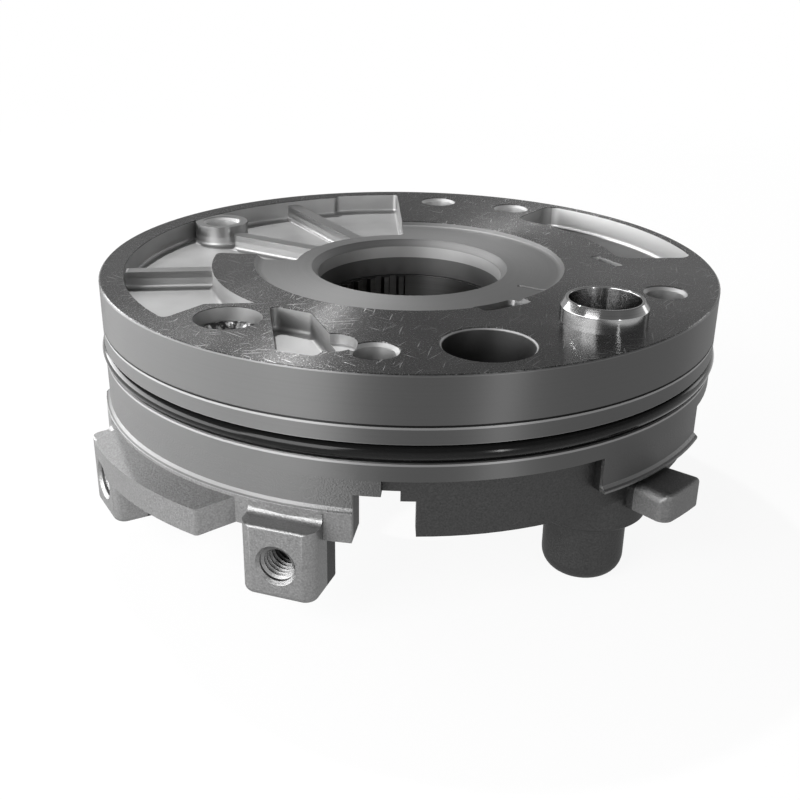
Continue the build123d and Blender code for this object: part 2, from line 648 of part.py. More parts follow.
def screw_holes():
    """Tapped holes for the cover screws and reamed holes for its dowels."""
    top, dowel_top = BODY_LOW_Z + SCREW_ENGAGEMENT, BODY_LOW_Z + DOWEL_LENGTH / 2
    cut = [drum(SCREW_R, top, BODY_LOW_Z - 1, polar(SCREW_PCR, a)) for a in screw_angles()]
    cut += [drum(DOWEL_R, dowel_top, BODY_LOW_Z - 1, polar(SCREW_PCR, a)) for a in DOWEL_ANGLES]
    return cut


def screw_angles():
    """Angles of the cover screws."""
    return [SCREW_FIRST_ANGLE + n * 360 / SCREW_COUNT for n in range(SCREW_COUNT)]


def pump_housing():
    """Body casting: flange, skirt, lugs and tower, then every machined cut."""
    body = turned_body()
    for cut in skirt_cuts():
        body -= cut
    body += shelf()
    body += tab()
    for angle in LUG_ANGLES:
        body += lug(angle)
    body += valve_tower()
    body += relief_tower()
    cuts = [trough(), rotor_cavity(), suction_bore(), bore_and_recess(), kidney(), front_pocket(), plug_bore(),
            passage(SUCTION_PCR, SUCTION_ANGLE, SUCTION_PASSAGE_WIDTH),
            passage(PLUG_PCR, PLUG_ANGLE, OUTLET_PASSAGE_WIDTH), transfer_drilling()]
    cuts += galleries() + small_face_cuts() + valve_bores() + relief_bores() + screw_holes()
    cuts += [bolt_hole(angle) for angle in BOLT_ANGLES]
    cuts += [lug_thread(angle) for angle in LUG_ANGLES]
    for cut in cuts:
        body -= cut
    return body


# ---------------------------------------------------------------- rotors

def inner_profile():
    """Lobed outline of the drive rotor: the round lobes' path, set in by the lobe radius."""
    set_in = LOBE_R + ROTOR_GAP
    points = []
    count = INNER_LOBES * PROFILE_POINTS_PER_LOBE
    for n in range(count):
        u = 2 * pi * n / count
        x = LOBE_CIRCLE_R * cos(u) + ECCENTRICITY * cos(OUTER_LOBES * u)
        y = LOBE_CIRCLE_R * sin(u) + ECCENTRICITY * sin(OUTER_LOBES * u)
        dx = -LOBE_CIRCLE_R * sin(u) - OUTER_LOBES * ECCENTRICITY * sin(OUTER_LOBES * u)
        dy = LOBE_CIRCLE_R * cos(u) + OUTER_LOBES * ECCENTRICITY * cos(OUTER_LOBES * u)
        size = hypot(dx, dy)
        points.append((x - set_in * dy / size, y + set_in * dx / size))
    return make_face(Spline(*points, periodic=True))


def spline_bore():
    """Bore of the drive rotor, with groups of spline teeth between plain lands."""
    bore = Circle(SPLINE_ROOT_R)
    pitch = 360 / SPLINE_PITCHES
    for group in range(SPLINE_GROUPS):
        for tooth in range(SPLINE_GROUP_TEETH):
            angle = SPLINE_FIRST_ANGLE + group * 360 / SPLINE_GROUPS + tooth * pitch
            bore -= spline_tooth(angle, pitch)
    return bore


def spline_tooth(angle, pitch):
    """One inward tooth of the spline."""
    half_root = pi * SPLINE_ROOT_R * pitch / 360 * 0.56
    half_tip = pi * SPLINE_TIP_R * pitch / 360 * 0.34
    outline = Polygon((SPLINE_TIP_R, -half_tip), (SPLINE_ROOT_R + 1, -half_root), (SPLINE_ROOT_R + 1, half_root),
                      (SPLINE_TIP_R, half_tip), align=None)
    return Rot(0, 0, angle) * outline


def rotor_heights():
    """Top and bottom of both rotors inside the cavity."""
    return ROTOR_TOP_Z - ROTOR_END_GAP, BODY_LOW_Z + ROTOR_END_GAP


def drive_rotor():
    """Inner rotor, driven through its spline."""
    top, low = rotor_heights()
    plan = Rot(0, 0, ECCENTRIC_ANGLE) * inner_profile() - spline_bore()
    return Pos(0, 0, low) * extrude(plan, top - low, dir=(0, 0, 1))


def outer_rotor():
    """Outer rotor, whose round lobes the inner rotor turns."""
    top, low = rotor_heights()
    root_r = LOBE_CIRCLE_R - LOBE_R + 2 * ECCENTRICITY + 0.3
    hollow = Circle(root_r)
    for n in range(OUTER_LOBES):
        hollow -= Pos(*polar(LOBE_CIRCLE_R, ECCENTRIC_ANGLE + n * 360 / OUTER_LOBES)) * Circle(LOBE_R)
    plan = Circle(OUTER_ROTOR_R) - hollow
    return Pos(*polar(ECCENTRICITY, ECCENTRIC_ANGLE), low) * extrude(plan, top - low)


# ---------------------------------------------------------------- cover, bush, seal and fasteners

def cover_low_z():
    """Underside of the cover's flange, where the screw heads seat."""
    return BODY_LOW_Z - COVER_THICKNESS


def pump_cover():
    """Cover plate that closes the rotor cavity, with the hub for the bush and the seal."""
    low = cover_low_z()
    bush_low = BODY_LOW_Z - BUSH_LENGTH
    body = turned([
        (SPLINE_ROOT_R + 0.8, BODY_LOW_Z), (COVER_R, BODY_LOW_Z), (COVER_R, low + COVER_EDGE),
        (COVER_R - COVER_EDGE, low), (COVER_HUB_R + 1.5, low), (COVER_HUB_R, low - 1.5),
        (COVER_HUB_R, COVER_HUB_LOW_Z + COVER_EDGE), (COVER_HUB_R - COVER_EDGE, COVER_HUB_LOW_Z),
        (SEAL_R, COVER_HUB_LOW_Z), (SEAL_R, COVER_HUB_LOW_Z + SEAL_LENGTH),
        (BUSH_R, COVER_HUB_LOW_Z + SEAL_LENGTH), (BUSH_R, BODY_LOW_Z - 0.6), (SPLINE_ROOT_R + 0.8, BODY_LOW_Z - 0.6),
    ])
    for angle in screw_angles():
        body -= drum(SCREW_R, BODY_LOW_Z + 1, low - 1, polar(SCREW_PCR, angle))
    for angle in DOWEL_ANGLES:
        body -= drum(DOWEL_R, BODY_LOW_Z + 1, low - 1, polar(SCREW_PCR, angle))
    body -= drum(VALVE_TOWER_R + COVER_CLEARANCE, BODY_LOW_Z + 1, COVER_HUB_LOW_Z, valve_at())
    for span in (INLET_PORT, OUTLET_PORT):
        body -= sector(PORT_IN_R, PORT_OUT_R, *span, BODY_LOW_Z + 1, BODY_LOW_Z - PORT_DEPTH, PORT_CORNER)
    return body


def hub_bush():
    """Bearing bush for the drive hub, pressed into the cover."""
    return tube(BUSH_R, BUSH_BORE_R, BODY_LOW_Z - 0.6, COVER_HUB_LOW_Z + SEAL_LENGTH + 1)


def seal_case():
    """Pressed steel case of the hub seal."""
    top = COVER_HUB_LOW_Z + SEAL_LENGTH
    foot = COVER_HUB_LOW_Z + SEAL_INSET
    wall = SEAL_R - SEAL_CASE_WALL
    return turned([
        (SEAL_R, top), (SEAL_R, foot), (wall, foot), (wall, top - SEAL_CASE_WALL),
        (SEAL_LIP_R + SEAL_FLANGE, top - SEAL_CASE_WALL), (SEAL_LIP_R + SEAL_FLANGE, top),
    ])


def lip_point(place):
    """Radius and height of a point of the lip, from its edge and the hub's face."""
    return (SEAL_LIP_R + place[0], COVER_HUB_LOW_Z + place[1])


def seal_lip():
    """Rubber lip moulded to the case."""
    top = COVER_HUB_LOW_Z + SEAL_LENGTH - SEAL_CASE_WALL
    wall = SEAL_R - SEAL_CASE_WALL
    return turned([
        (wall, top), (wall, top - LIP_WEB), (SEAL_LIP_R + LIP_BACK, top - LIP_WEB), lip_point(LIP_HEEL),
        lip_point(LIP_TOE), lip_point((0, LIP_EDGE_RISE)), lip_point(LIP_SHOULDER), (SEAL_LIP_R + LIP_THROAT, top),
    ])


def garter_spring():
    """Garter spring that loads the lip."""
    radius = SEAL_LIP_R + GARTER_SEAT + GARTER_WIRE_R
    ring = Torus(radius, GARTER_WIRE_R)
    return Pos(0, 0, COVER_HUB_LOW_Z + GARTER_RISE) * ring


def cover_screw(angle):
    """Socket-head screw through the cover."""
    at = polar(SCREW_PCR, angle)
    seat = cover_low_z()
    low = seat - SCREW_HEAD_HEIGHT
    shank = drum(SCREW_R, BODY_LOW_Z + SCREW_ENGAGEMENT - SCREW_END_GAP, seat, at)
    socket = Pos(*at, low) * extrude(RegularPolygon(SCREW_SOCKET_R, 6), SCREW_SOCKET_DEPTH)
    return shank + drum(SCREW_HEAD_R, seat, low, at) - socket


def cover_dowel(angle):
    """Plain dowel pin between cover and body."""
    half = DOWEL_LENGTH / 2
    return drum(DOWEL_R, BODY_LOW_Z + half, BODY_LOW_Z - half, polar(SCREW_PCR, angle))


# ---------------------------------------------------------------- check valve

def feed_sleeve():
    """Steel sleeve pressed into the body; its lower end is the check valve's seat."""
    low = -SLEEVE_SEAT_DEPTH
    top = SLEEVE_HEIGHT
    return Pos(*valve_at(), 0) * turned([
        (SEAT_HOLE_R, low), (SLEEVE_R, low), (SLEEVE_R, top - SLEEVE_RIM_CHAMFER), (SLEEVE_RIM_R, top),
        (SLEEVE_BORE_R + 0.3, top), (SLEEVE_BORE_R, top - 0.3), (SLEEVE_BORE_R, low + SEAT_THICKNESS),
        (SEAT_HOLE_R, low + SEAT_THICKNESS),
    ])


def check_valve():
    """Cup-shaped valve that closes the sleeve's seat."""
    top = -SLEEVE_SEAT_DEPTH - VALVE_SEAT_GAP
    radius = VALVE_BORE_R - VALVE_RUNNING_GAP
    low = top - VALVE_LENGTH
    return Pos(*valve_at(), 0) * turned([
        (0, top), (radius - 1, top), (radius, top - 1), (radius, low), (radius - VALVE_WALL, low),
        (radius - VALVE_WALL, top - VALVE_CROWN), (0, top - VALVE_CROWN),
    ])


def coil(mean_r, wire_r, length, coils):
    """Helical spring along +Z from the origin."""
    path = Helix(length / coils, length, mean_r)
    section = Plane(path @ 0, z_dir=path % 0) * RegularPolygon(wire_r, 6)
    return sweep(section, path, is_frenet=True)


def check_spring():
    """Spring that holds the check valve shut."""
    radius = VALVE_BORE_R - VALVE_RUNNING_GAP - VALVE_WALL - CHECK_WIRE_R - 0.4
    low = VALVE_BORE_LOW_Z + CHECK_WIRE_R + 0.1
    high = -SLEEVE_SEAT_DEPTH - VALVE_SEAT_GAP - VALVE_CROWN - CHECK_WIRE_R - 0.1
    return Pos(*valve_at(), low) * coil(radius, CHECK_WIRE_R, high - low, CHECK_COILS)


# ---------------------------------------------------------------- relief valve

def relief_piston():
    """Cup-shaped piston of the relief valve, crown upwards."""
    top = RELIEF_BORE_TOP_Z - VALVE_SEAT_GAP
    low = top - RELIEF_PISTON_LENGTH
    radius = RELIEF_BORE_R - RELIEF_RUNNING_GAP
    return Pos(*relief_at(), 0) * turned([
        (0, top), (radius - 0.6, top), (radius, top - 0.6), (radius, low), (radius - RELIEF_PISTON_WALL, low),
        (radius - RELIEF_PISTON_WALL, top - RELIEF_PISTON_CROWN), (0, top - RELIEF_PISTON_CROWN),
    ])


def relief_spring():
    """Spring between the relief piston and its plug."""
    low = RELIEF_TOWER_LOW_Z + RELIEF_PLUG_LENGTH + RELIEF_WIRE_R + SPRING_END_GAP
    high = RELIEF_BORE_TOP_Z - VALVE_SEAT_GAP - RELIEF_PISTON_CROWN - RELIEF_WIRE_R - SPRING_END_GAP
    radius = RELIEF_BORE_R - RELIEF_RUNNING_GAP - RELIEF_PISTON_WALL - RELIEF_WIRE_R - 0.35
    return Pos(*relief_at(), low) * coil(radius, RELIEF_WIRE_R, high - low, RELIEF_COILS)


def relief_plug():
    """Screwed plug that closes the relief bore from below."""
    top = RELIEF_TOWER_LOW_Z + RELIEF_PLUG_LENGTH
    seat = RELIEF_TOWER_LOW_Z - RELIEF_WASHER
    low = seat - RELIEF_PLUG_HEAD
    body = turned([
        (0, top), (RELIEF_BORE_R - 0.5, top), (RELIEF_BORE_R, top - 0.5), (RELIEF_BORE_R, seat),
        (RELIEF_PLUG_HEAD_R, seat), (RELIEF_PLUG_HEAD_R, low + 0.6), (RELIEF_PLUG_HEAD_R - 0.6, low), (0, low),
    ])
    socket = prism(RegularPolygon(RELIEF_PLUG_SOCKET_R, 6), low + RELIEF_PLUG_SOCKET_DEPTH, low - 1)
    return Pos(*relief_at(), 0) * (body - socket)


def plug_washer():
    """Sealing washer under the relief plug's head."""
    low = RELIEF_TOWER_LOW_Z - RELIEF_WASHER
    return tube(RELIEF_WASHER_R, RELIEF_BORE_R, RELIEF_TOWER_LOW_Z, low, relief_at())


# ---------------------------------------------------------------- ring, plug and ball

def body_o_ring():
    """Sealing ring round the body, proud of its groove."""
    ring_r = RIM_R - GROOVE_DEPTH + O_RING_SECTION_R
    return Pos(0, 0, GROOVE_TOP_Z - GROOVE_WIDTH / 2) * Torus(ring_r, O_RING_SECTION_R)


def gallery_plug():
    """Dished plug pressed into the recess at the front left."""
    top = -PLUG_RECESS
    low = top - PLUG_THICKNESS
    return Pos(*plug_at(), 0) * turned([
        (0, low), (PLUG_R, low), (PLUG_R, top), (PLUG_R - PLUG_SKIRT, top),
        (PLUG_R - PLUG_SKIRT - 0.5, top - 1.2), (0, top - 1.6),
    ])


def gallery_ball():
    """Ball that closes the radial drilling at the rim."""
    return Rot(0, 0, THIRD_RIB_ANGLE) * Pos(RIM_R - BALL_DEPTH - BALL_R, 0, FEED_Z) * Sphere(BALL_R)


def write(name, solids):
    """Write one node, as one solid or as a group of separate ones."""
    shape = solids if not isinstance(solids, list) else Compound(children=solids)
    export_step(shape, f"parts/{name}.step")


def main():
    """Build every piece and write it to its own file."""
    os.makedirs("parts", exist_ok=True)
    write("pump_housing", pump_housing())
    write("body_o_ring", body_o_ring())
    write("feed_sleeve", feed_sleeve())
    write("check_valve", check_valve())
    write("check_spring", check_spring())
    write("gallery_plug", gallery_plug())
    write("gallery_ball", gallery_ball())
    write("drive_rotor", drive_rotor())
    write("outer_rotor", outer_rotor())
    write("pump_cover", pump_cover())
    write("hub_bush", hub_bush())
    write("seal_case", seal_case())
    write("seal_lip", seal_lip())
    write("garter_spring", garter_spring())
    write("cover_screws", [cover_screw(angle) for angle in screw_angles()])
    write("cover_dowels", [cover_dowel(angle) for angle in DOWEL_ANGLES])
    write("relief_piston", relief_piston())
    write("relief_spring", relief_spring())
    write("relief_plug", relief_plug())
    write("plug_washer", plug_washer())


main()
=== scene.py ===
"""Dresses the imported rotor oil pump: softened castings, turned rings, rotors, seals, fasteners and the studio."""

import cmath
import json
import logging
import math
from dataclasses import dataclass
from enum import Enum
from typing import Callable

import bmesh
import bpy
from bmesh.types import BMesh, BMVert
from bpy.types import Material, Node, NodeSocket as Socket, NodeTree, Object
from mathutils import Matrix, Vector


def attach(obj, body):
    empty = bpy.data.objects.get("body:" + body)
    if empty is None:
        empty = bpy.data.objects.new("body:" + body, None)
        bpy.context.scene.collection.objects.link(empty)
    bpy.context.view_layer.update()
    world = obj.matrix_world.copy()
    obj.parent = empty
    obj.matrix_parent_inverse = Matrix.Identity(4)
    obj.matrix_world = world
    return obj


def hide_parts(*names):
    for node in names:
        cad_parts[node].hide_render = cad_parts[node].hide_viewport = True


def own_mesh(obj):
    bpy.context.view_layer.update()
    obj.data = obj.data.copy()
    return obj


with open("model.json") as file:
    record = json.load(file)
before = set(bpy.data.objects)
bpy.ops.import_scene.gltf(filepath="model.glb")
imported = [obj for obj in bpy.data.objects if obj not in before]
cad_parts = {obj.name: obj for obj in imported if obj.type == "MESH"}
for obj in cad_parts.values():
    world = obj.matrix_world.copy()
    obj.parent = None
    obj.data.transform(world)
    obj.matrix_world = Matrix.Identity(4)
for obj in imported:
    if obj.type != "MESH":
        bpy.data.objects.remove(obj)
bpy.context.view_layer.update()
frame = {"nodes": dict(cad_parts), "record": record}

LOG = logging.getLogger("pump")
MM = 0.001
TURN = 2.0 * math.pi
BODY = "pump_body"
SPECULAR_LEVEL = 0.15
EDGE_TINT = 0.68             # of a metal's reflection seen at a shallow angle
SOFT = 0.1 * MM              # width over which one finish gives way to the next
SECTOR_EDGE = 0.01           # the same at a sector's edge, as a cosine

Point = tuple[float, float]
Layer = tuple[object, object, object, float]


# ---- finishes

class Grain(Enum):
    """Surface textures that a finish can carry."""

    PLAIN = "plain"
    HOUSING = "housing"
    TURNED = "turned"
    ROUGH = "rough"


@dataclass(frozen=True)
class Finish:
    """One material of the pump.

    Attributes:
        slot: the record's material slot that the finish dresses.
        shade: linear strength of the base colour.
        metallic: 0 for rubber, 1 for bare metal.
        roughness: mean roughness.
        grain: kind of surface texture.
        depth: height of the texture in metres.
        hue: share of red, green and blue in the colour.
        axis: axis of the turning marks, in metres.
    """

    slot: str
    shade: float
    metallic: float
    roughness: float
    grain: Grain = Grain.PLAIN
    depth: float = 0.0
    hue: tuple[float, float, float] = (1.0, 1.0, 1.0)
    axis: tuple[float, float] = (0.0, 0.0)

    @property
    def colour(self) -> tuple[float, float, float, float]:
        """Base colour as red, green, blue and alpha."""
        return (*[self.shade * share for share in self.hue], 1.0)


MACHINED = Finish("machined_aluminium", 0.13, 1.0, 0.34, Grain.HOUSING, 0.02 * MM)
COVER_IRON = Finish("cover_iron", 0.13, 1.0, 0.42, Grain.TURNED, 0.01 * MM)
RUBBER = Finish("black_rubber", 0.005, 0.0, 0.14)
TURNED_STEEL = Finish("turned_steel", 0.34, 1.0, 0.15, Grain.TURNED, 0.004 * MM,
                      axis=(42.95 * MM, -44.36 * MM))
PLUG_METAL = Finish("plug_metal", 0.22, 1.0, 0.32, Grain.ROUGH, 0.5 * MM)
GROUND_STEEL = Finish("ground_steel", 0.40, 1.0, 0.15)
SPRING_STEEL = Finish("spring_steel", 0.20, 1.0, 0.30)
SINTERED = Finish("sintered_steel", 0.07, 1.0, 0.34, Grain.TURNED, 0.006 * MM)
BRONZE = Finish("bush_bronze", 0.16, 1.0, 0.30, Grain.TURNED, 0.004 * MM, (1.0, 0.80, 0.56))
CASE_STEEL = Finish("case_steel", 0.30, 1.0, 0.32)
FASTENER = Finish("fastener_steel", 0.12, 1.0, 0.40)
COPPER = Finish("copper", 0.45, 1.0, 0.35, Grain.PLAIN, 0.0, (1.0, 0.55, 0.36))
FINISHES = (MACHINED, COVER_IRON, RUBBER, TURNED_STEEL, PLUG_METAL, GROUND_STEEL, SPRING_STEEL, SINTERED, BRONZE,
            CASE_STEEL, FASTENER, COPPER)


@dataclass(frozen=True)
class Noise:
    """One noise texture: features per metre, and detail."""

    scale: float
    detail: float = 3.0


TURNING_LINES = Noise(2400.0)
TURNED_RINGS = Noise(2600.0, 2.0)
CAST_SKIN = Noise(2400.0, 4.0)
PATCHES = Noise(55.0)
SPECKS = Noise(3000.0, 2.0)
LAPPED_GRAIN = Noise(3200.0)
STROKES = Noise(2300.0, 1.0)
DENTS = Noise(520.0)
FLAKES = Noise(900.0)


class NodeSheet:
    """Small helper that adds and links shader nodes."""

    def __init__(self, tree: NodeTree) -> None:
        """Args: tree: the material's node tree, emptied first."""
        self.tree = tree
        tree.nodes.clear()

    def add(self, kind: str, **inputs: object) -> Node:
        """Adds a node and sets or links its inputs.

        Args:
            kind: node type name.
            inputs: input name, with underscores for spaces, to a value or a socket.

        Returns:
            The new node.
        """
        node = self.tree.nodes.new(kind)
        for name, value in inputs.items():
            self.feed(node.inputs[name.replace("_", " ")], value)
        return node

    def feed(self, socket: Socket, value: object) -> None:
        """Links a socket to another, or sets its value."""
        if isinstance(value, Socket):
            self.tree.links.new(value, socket)
        else:
            socket.default_value = value

    def sum(self, operation: str, first: object, second: object = 0.0) -> Socket:
        """Returns the result socket of a Math node with two operands."""
        node = self.add("ShaderNodeMath")
        node.operation = operation
        self.feed(node.inputs[0], first)
        self.feed(node.inputs[1], second)
        return node.outputs[0]

    def both(self, first: object, second: object) -> Socket:
        """Returns the product of two masks or values."""
        return self.sum("MULTIPLY", first, second)

    def length(self, across: object, forth: object) -> Socket:
        """Returns the length of a flat vector."""
        squares = [self.sum("POWER", side, 2.0) for side in (across, forth)]
        return self.sum("SQRT", self.sum("ADD", *squares))

    def step(self, value: object, edge: float, width: float = SOFT) -> Socket:
        """Returns a soft step from 0 below the edge to 1 above it."""
        node = self.add("ShaderNodeMapRange", Value=value, From_Min=edge - width / 2, From_Max=edge + width / 2)
        node.interpolation_type = "SMOOTHSTEP"
        return node.outputs["Result"]

    def under(self, value: object, edge: float) -> Socket:
        """Returns a soft step from 1 below the edge to 0 above it."""
        return self.step(self.both(value, -1.0), -edge)

    def ring(self, value: object, low: float, high: float) -> Socket:
        """Returns 1 between two values and 0 outside them."""
        return self.sum("SUBTRACT", self.step(value, low), self.step(value, high))

    def mix(self, factor: object, low: float, high: float) -> Socket:
        """Returns a value between low and high."""
        return self.add("ShaderNodeMapRange", Value=factor, To_Min=low, To_Max=high).outputs["Result"]

    def blend(self, factor: object, low: object, high: object) -> Socket:
        """Returns a number between two sockets or values."""
        return self.add("ShaderNodeMix", Factor=factor, A=low, B=high).outputs["Result"]

    def grey(self, value: object) -> Socket:
        """Returns a grey colour."""
        return self.add("ShaderNodeCombineColor", Red=value, Green=value, Blue=value).outputs[0]

    def seen(self, path: Node) -> Socket:
        """Returns 1 for rays that show the backdrop: from the camera, off metal or through glass."""
        mirrored = self.sum("MAXIMUM", path.outputs["Is Glossy Ray"], path.outputs["Is Transmission Ray"])
        return self.sum("MAXIMUM", path.outputs["Is Camera Ray"], mirrored)

    def noise(self, vector: object, noise: Noise) -> Socket:
        """Returns a noise value at a vector."""
        return self.add("ShaderNodeTexNoise", Vector=vector, Scale=noise.scale, Detail=noise.detail).outputs["Fac"]

    def stretched(self, vector: object, scale: tuple[float, float, float], turn: float) -> Socket:
        """Returns a vector turned about Z, by degrees, and then scaled along each axis."""
        node = self.add("ShaderNodeMapping")
        node.vector_type = "TEXTURE"
        for name, value in (("Vector", vector), ("Rotation", (0.0, 0.0, math.radians(turn))),
                            ("Scale", tuple(1.0 / s for s in scale))):
            self.feed(node.inputs[name], value)
        return node.outputs["Vector"]


@dataclass(frozen=True)
class Polar:
    """Sockets that say where a place lies about an upright axis."""

    sheet: NodeSheet
    across: Socket
    forth: Socket
    radius: Socket
    height: Socket
    groove: Socket

    def facing(self, angle: float) -> Socket:
        """Returns the cosine of the angle between each place and a direction in degrees."""
        x, y = polar(1.0, angle)
        along = self.sheet.sum("ADD", self.sheet.both(self.across, x), self.sheet.both(self.forth, y))
        return self.sheet.sum("DIVIDE", along, self.radius)

    def sector(self, angle: float, half: float) -> Socket:
        """Returns 1 within half an opening, in degrees, to either side of a direction."""
        return self.sheet.step(self.facing(angle), math.cos(math.radians(half)), SECTOR_EDGE)

    def reach(self, pitch_r: float, angle: float) -> Socket:
        """Returns the distance of each place from an upright hole's centre line."""
        x, y = polar(pitch_r, angle)
        return self.sheet.length(self.sheet.sum("SUBTRACT", self.across, x), self.sheet.sum("SUBTRACT", self.forth, y))

    def rings(self) -> Socket:
        """Returns a vector that stays the same all round the axis."""
        return self.sheet.add("ShaderNodeCombineXYZ", X=self.radius, Y=0.0, Z=self.height).outputs[0]


@dataclass(frozen=True)
class ZoneLook:
    """Look of one zone of the housing.

    Attributes:
        shade: base shade.
        stray: share by which the shade strays from it.
        rough: least and greatest roughness.
        drawn: how far highlights are drawn out across the turning marks.
    """

    shade: float
    stray: float
    rough: tuple[float, float]
    drawn: float

    def vary(self, sheet: NodeSheet, factor: object, shade: object = None) -> Socket:
        """Returns the zone's shade, or another, with its stray picked by a factor."""
        stray = sheet.mix(factor, 1.0 - self.stray, 1.0 + self.stray)
        return sheet.both(self.shade if shade is None else shade, stray)

    def layer(self, sheet: NodeSheet, mask: object, shade: object, factor: object) -> Layer:
        """Returns the mask, shade, roughness picked by a factor, and drawing out of the highlights."""
        return (mask, shade, sheet.mix(factor, *self.rough), self.drawn)


@dataclass(frozen=True)
class HousingZones:
    """Where the housing's finish changes, in metres and degrees, the look of each zone, and where light and shade are
    painted on.

    Attributes:
        ribs: inner radius, middle angle and half opening of each rib's top, which gets a painted highlight.
        kidney: inner and outer radius, middle angle and half opening of the pocket's outer wall, which gets painted
            light.
        holes: pitch radius, angle, radius, painted wall shade and wall roughness of each upright hole.
        lines: low and high edge in millimetres, and shade, of each line round the turned bands: painted glints on the
            edges and painted shade in the witness line.
        grain_edge, speck_edge: middle and width of the step that brings out the grain and the specks.
        relief: share and middle height of the machined zones' relief, as against the cast skin's.
        relief_depth: height of the relief, in depths of the finish.
    """

    top_z: float = -0.2 * MM
    recess_z: float = -3.0 * MM
    recess_r: float = 42.0 * MM
    band_r: float = 77.2 * MM
    ledge_z: float = -31.2 * MM
    machined_z: float = -23.7 * MM
    deep_z: float = -6.1 * MM
    hole_top_z: float = -0.25 * MM
    inner_cast_r: float = 77.0 * MM
    # direction of the lamp-lit side, towards which the cast skin gets painted light
    lit_side_way: float = 215.0
    rib_out_r: float = 71.5 * MM
    ribs: tuple[tuple[float, ...], ...] = ((29.8 * MM, 135.0, 38.0), (50.7 * MM, 187.0, 13.0))
    kidney: tuple[float, ...] = (74.6 * MM, 76.0 * MM, 30.0, 27.0)
    # painted light on the bolt holes' walls; painted shade in the suction hole, the last row
    holes: tuple[tuple[float, ...], ...] = (
        *[(65.6 * MM, way, 5.7 * MM, shade, 0.50) for way, shade in (
            (338.9, 0.36), (61.6, 0.55), (82.0, 0.55), (146.0, 0.55))],
        (62.6 * MM, 285.3, 10.0 * MM, 0.10, 0.45))
    # painted glints on the band edges, and painted shade in the witness line from -11.4 to -10.9 mm
    lines: tuple[tuple[float, ...], ...] = (
        (-0.5, 0.1, 0.19), (-11.4, -10.9, 0.03), (-11.9, -11.4, 0.30), (-15.5, -15.1, 0.20), (-20.1, -19.5, 0.30),
        (-30.9, -30.3, 0.26))
    cast: ZoneLook = ZoneLook(0.15, 0.5, (0.40, 0.60), 0.0)
    milled: ZoneLook = ZoneLook(0.36, 0.3, (0.44, 0.56), 0.2)
    band: ZoneLook = ZoneLook(0.12, 0.1, (0.46, 0.56), 0.9)
    recess: ZoneLook = ZoneLook(0.21, 0.2, (0.40, 0.50), 0.35)
    top: ZoneLook = ZoneLook(0.108, 0.3, (0.26, 0.40), 0.9)
    # painted highlight on the rib tops
    rib: ZoneLook = ZoneLook(0.34, 0.0, (0.24, 0.40), 0.5)
    # painted light: shade of the cast skin on the lamp-lit side
    painted_light_cast_shade: float = 0.24
    # painted shade: shade of the cast walls that lie under the body, inside the skirt
    inner_cast_painted_shade: float = 0.055
    # painted shade: shade of the kidney pocket's deep floor
    deep_painted_shade: float = 0.11
    worn_shade: float = 0.30
    # painted light: shade of the kidney pocket's outer wall, brightened where lamps fall on it
    wall_painted_light: float = 0.58
    wall_rough: float = 0.50
    grain_edge: Point = (0.5, 0.35)
    grain_strength: Point = (0.30, 1.70)
    speck_edge: Point = (0.66, 0.10)
    relief: Point = (0.12, 0.5)
    relief_depth: float = 4.0


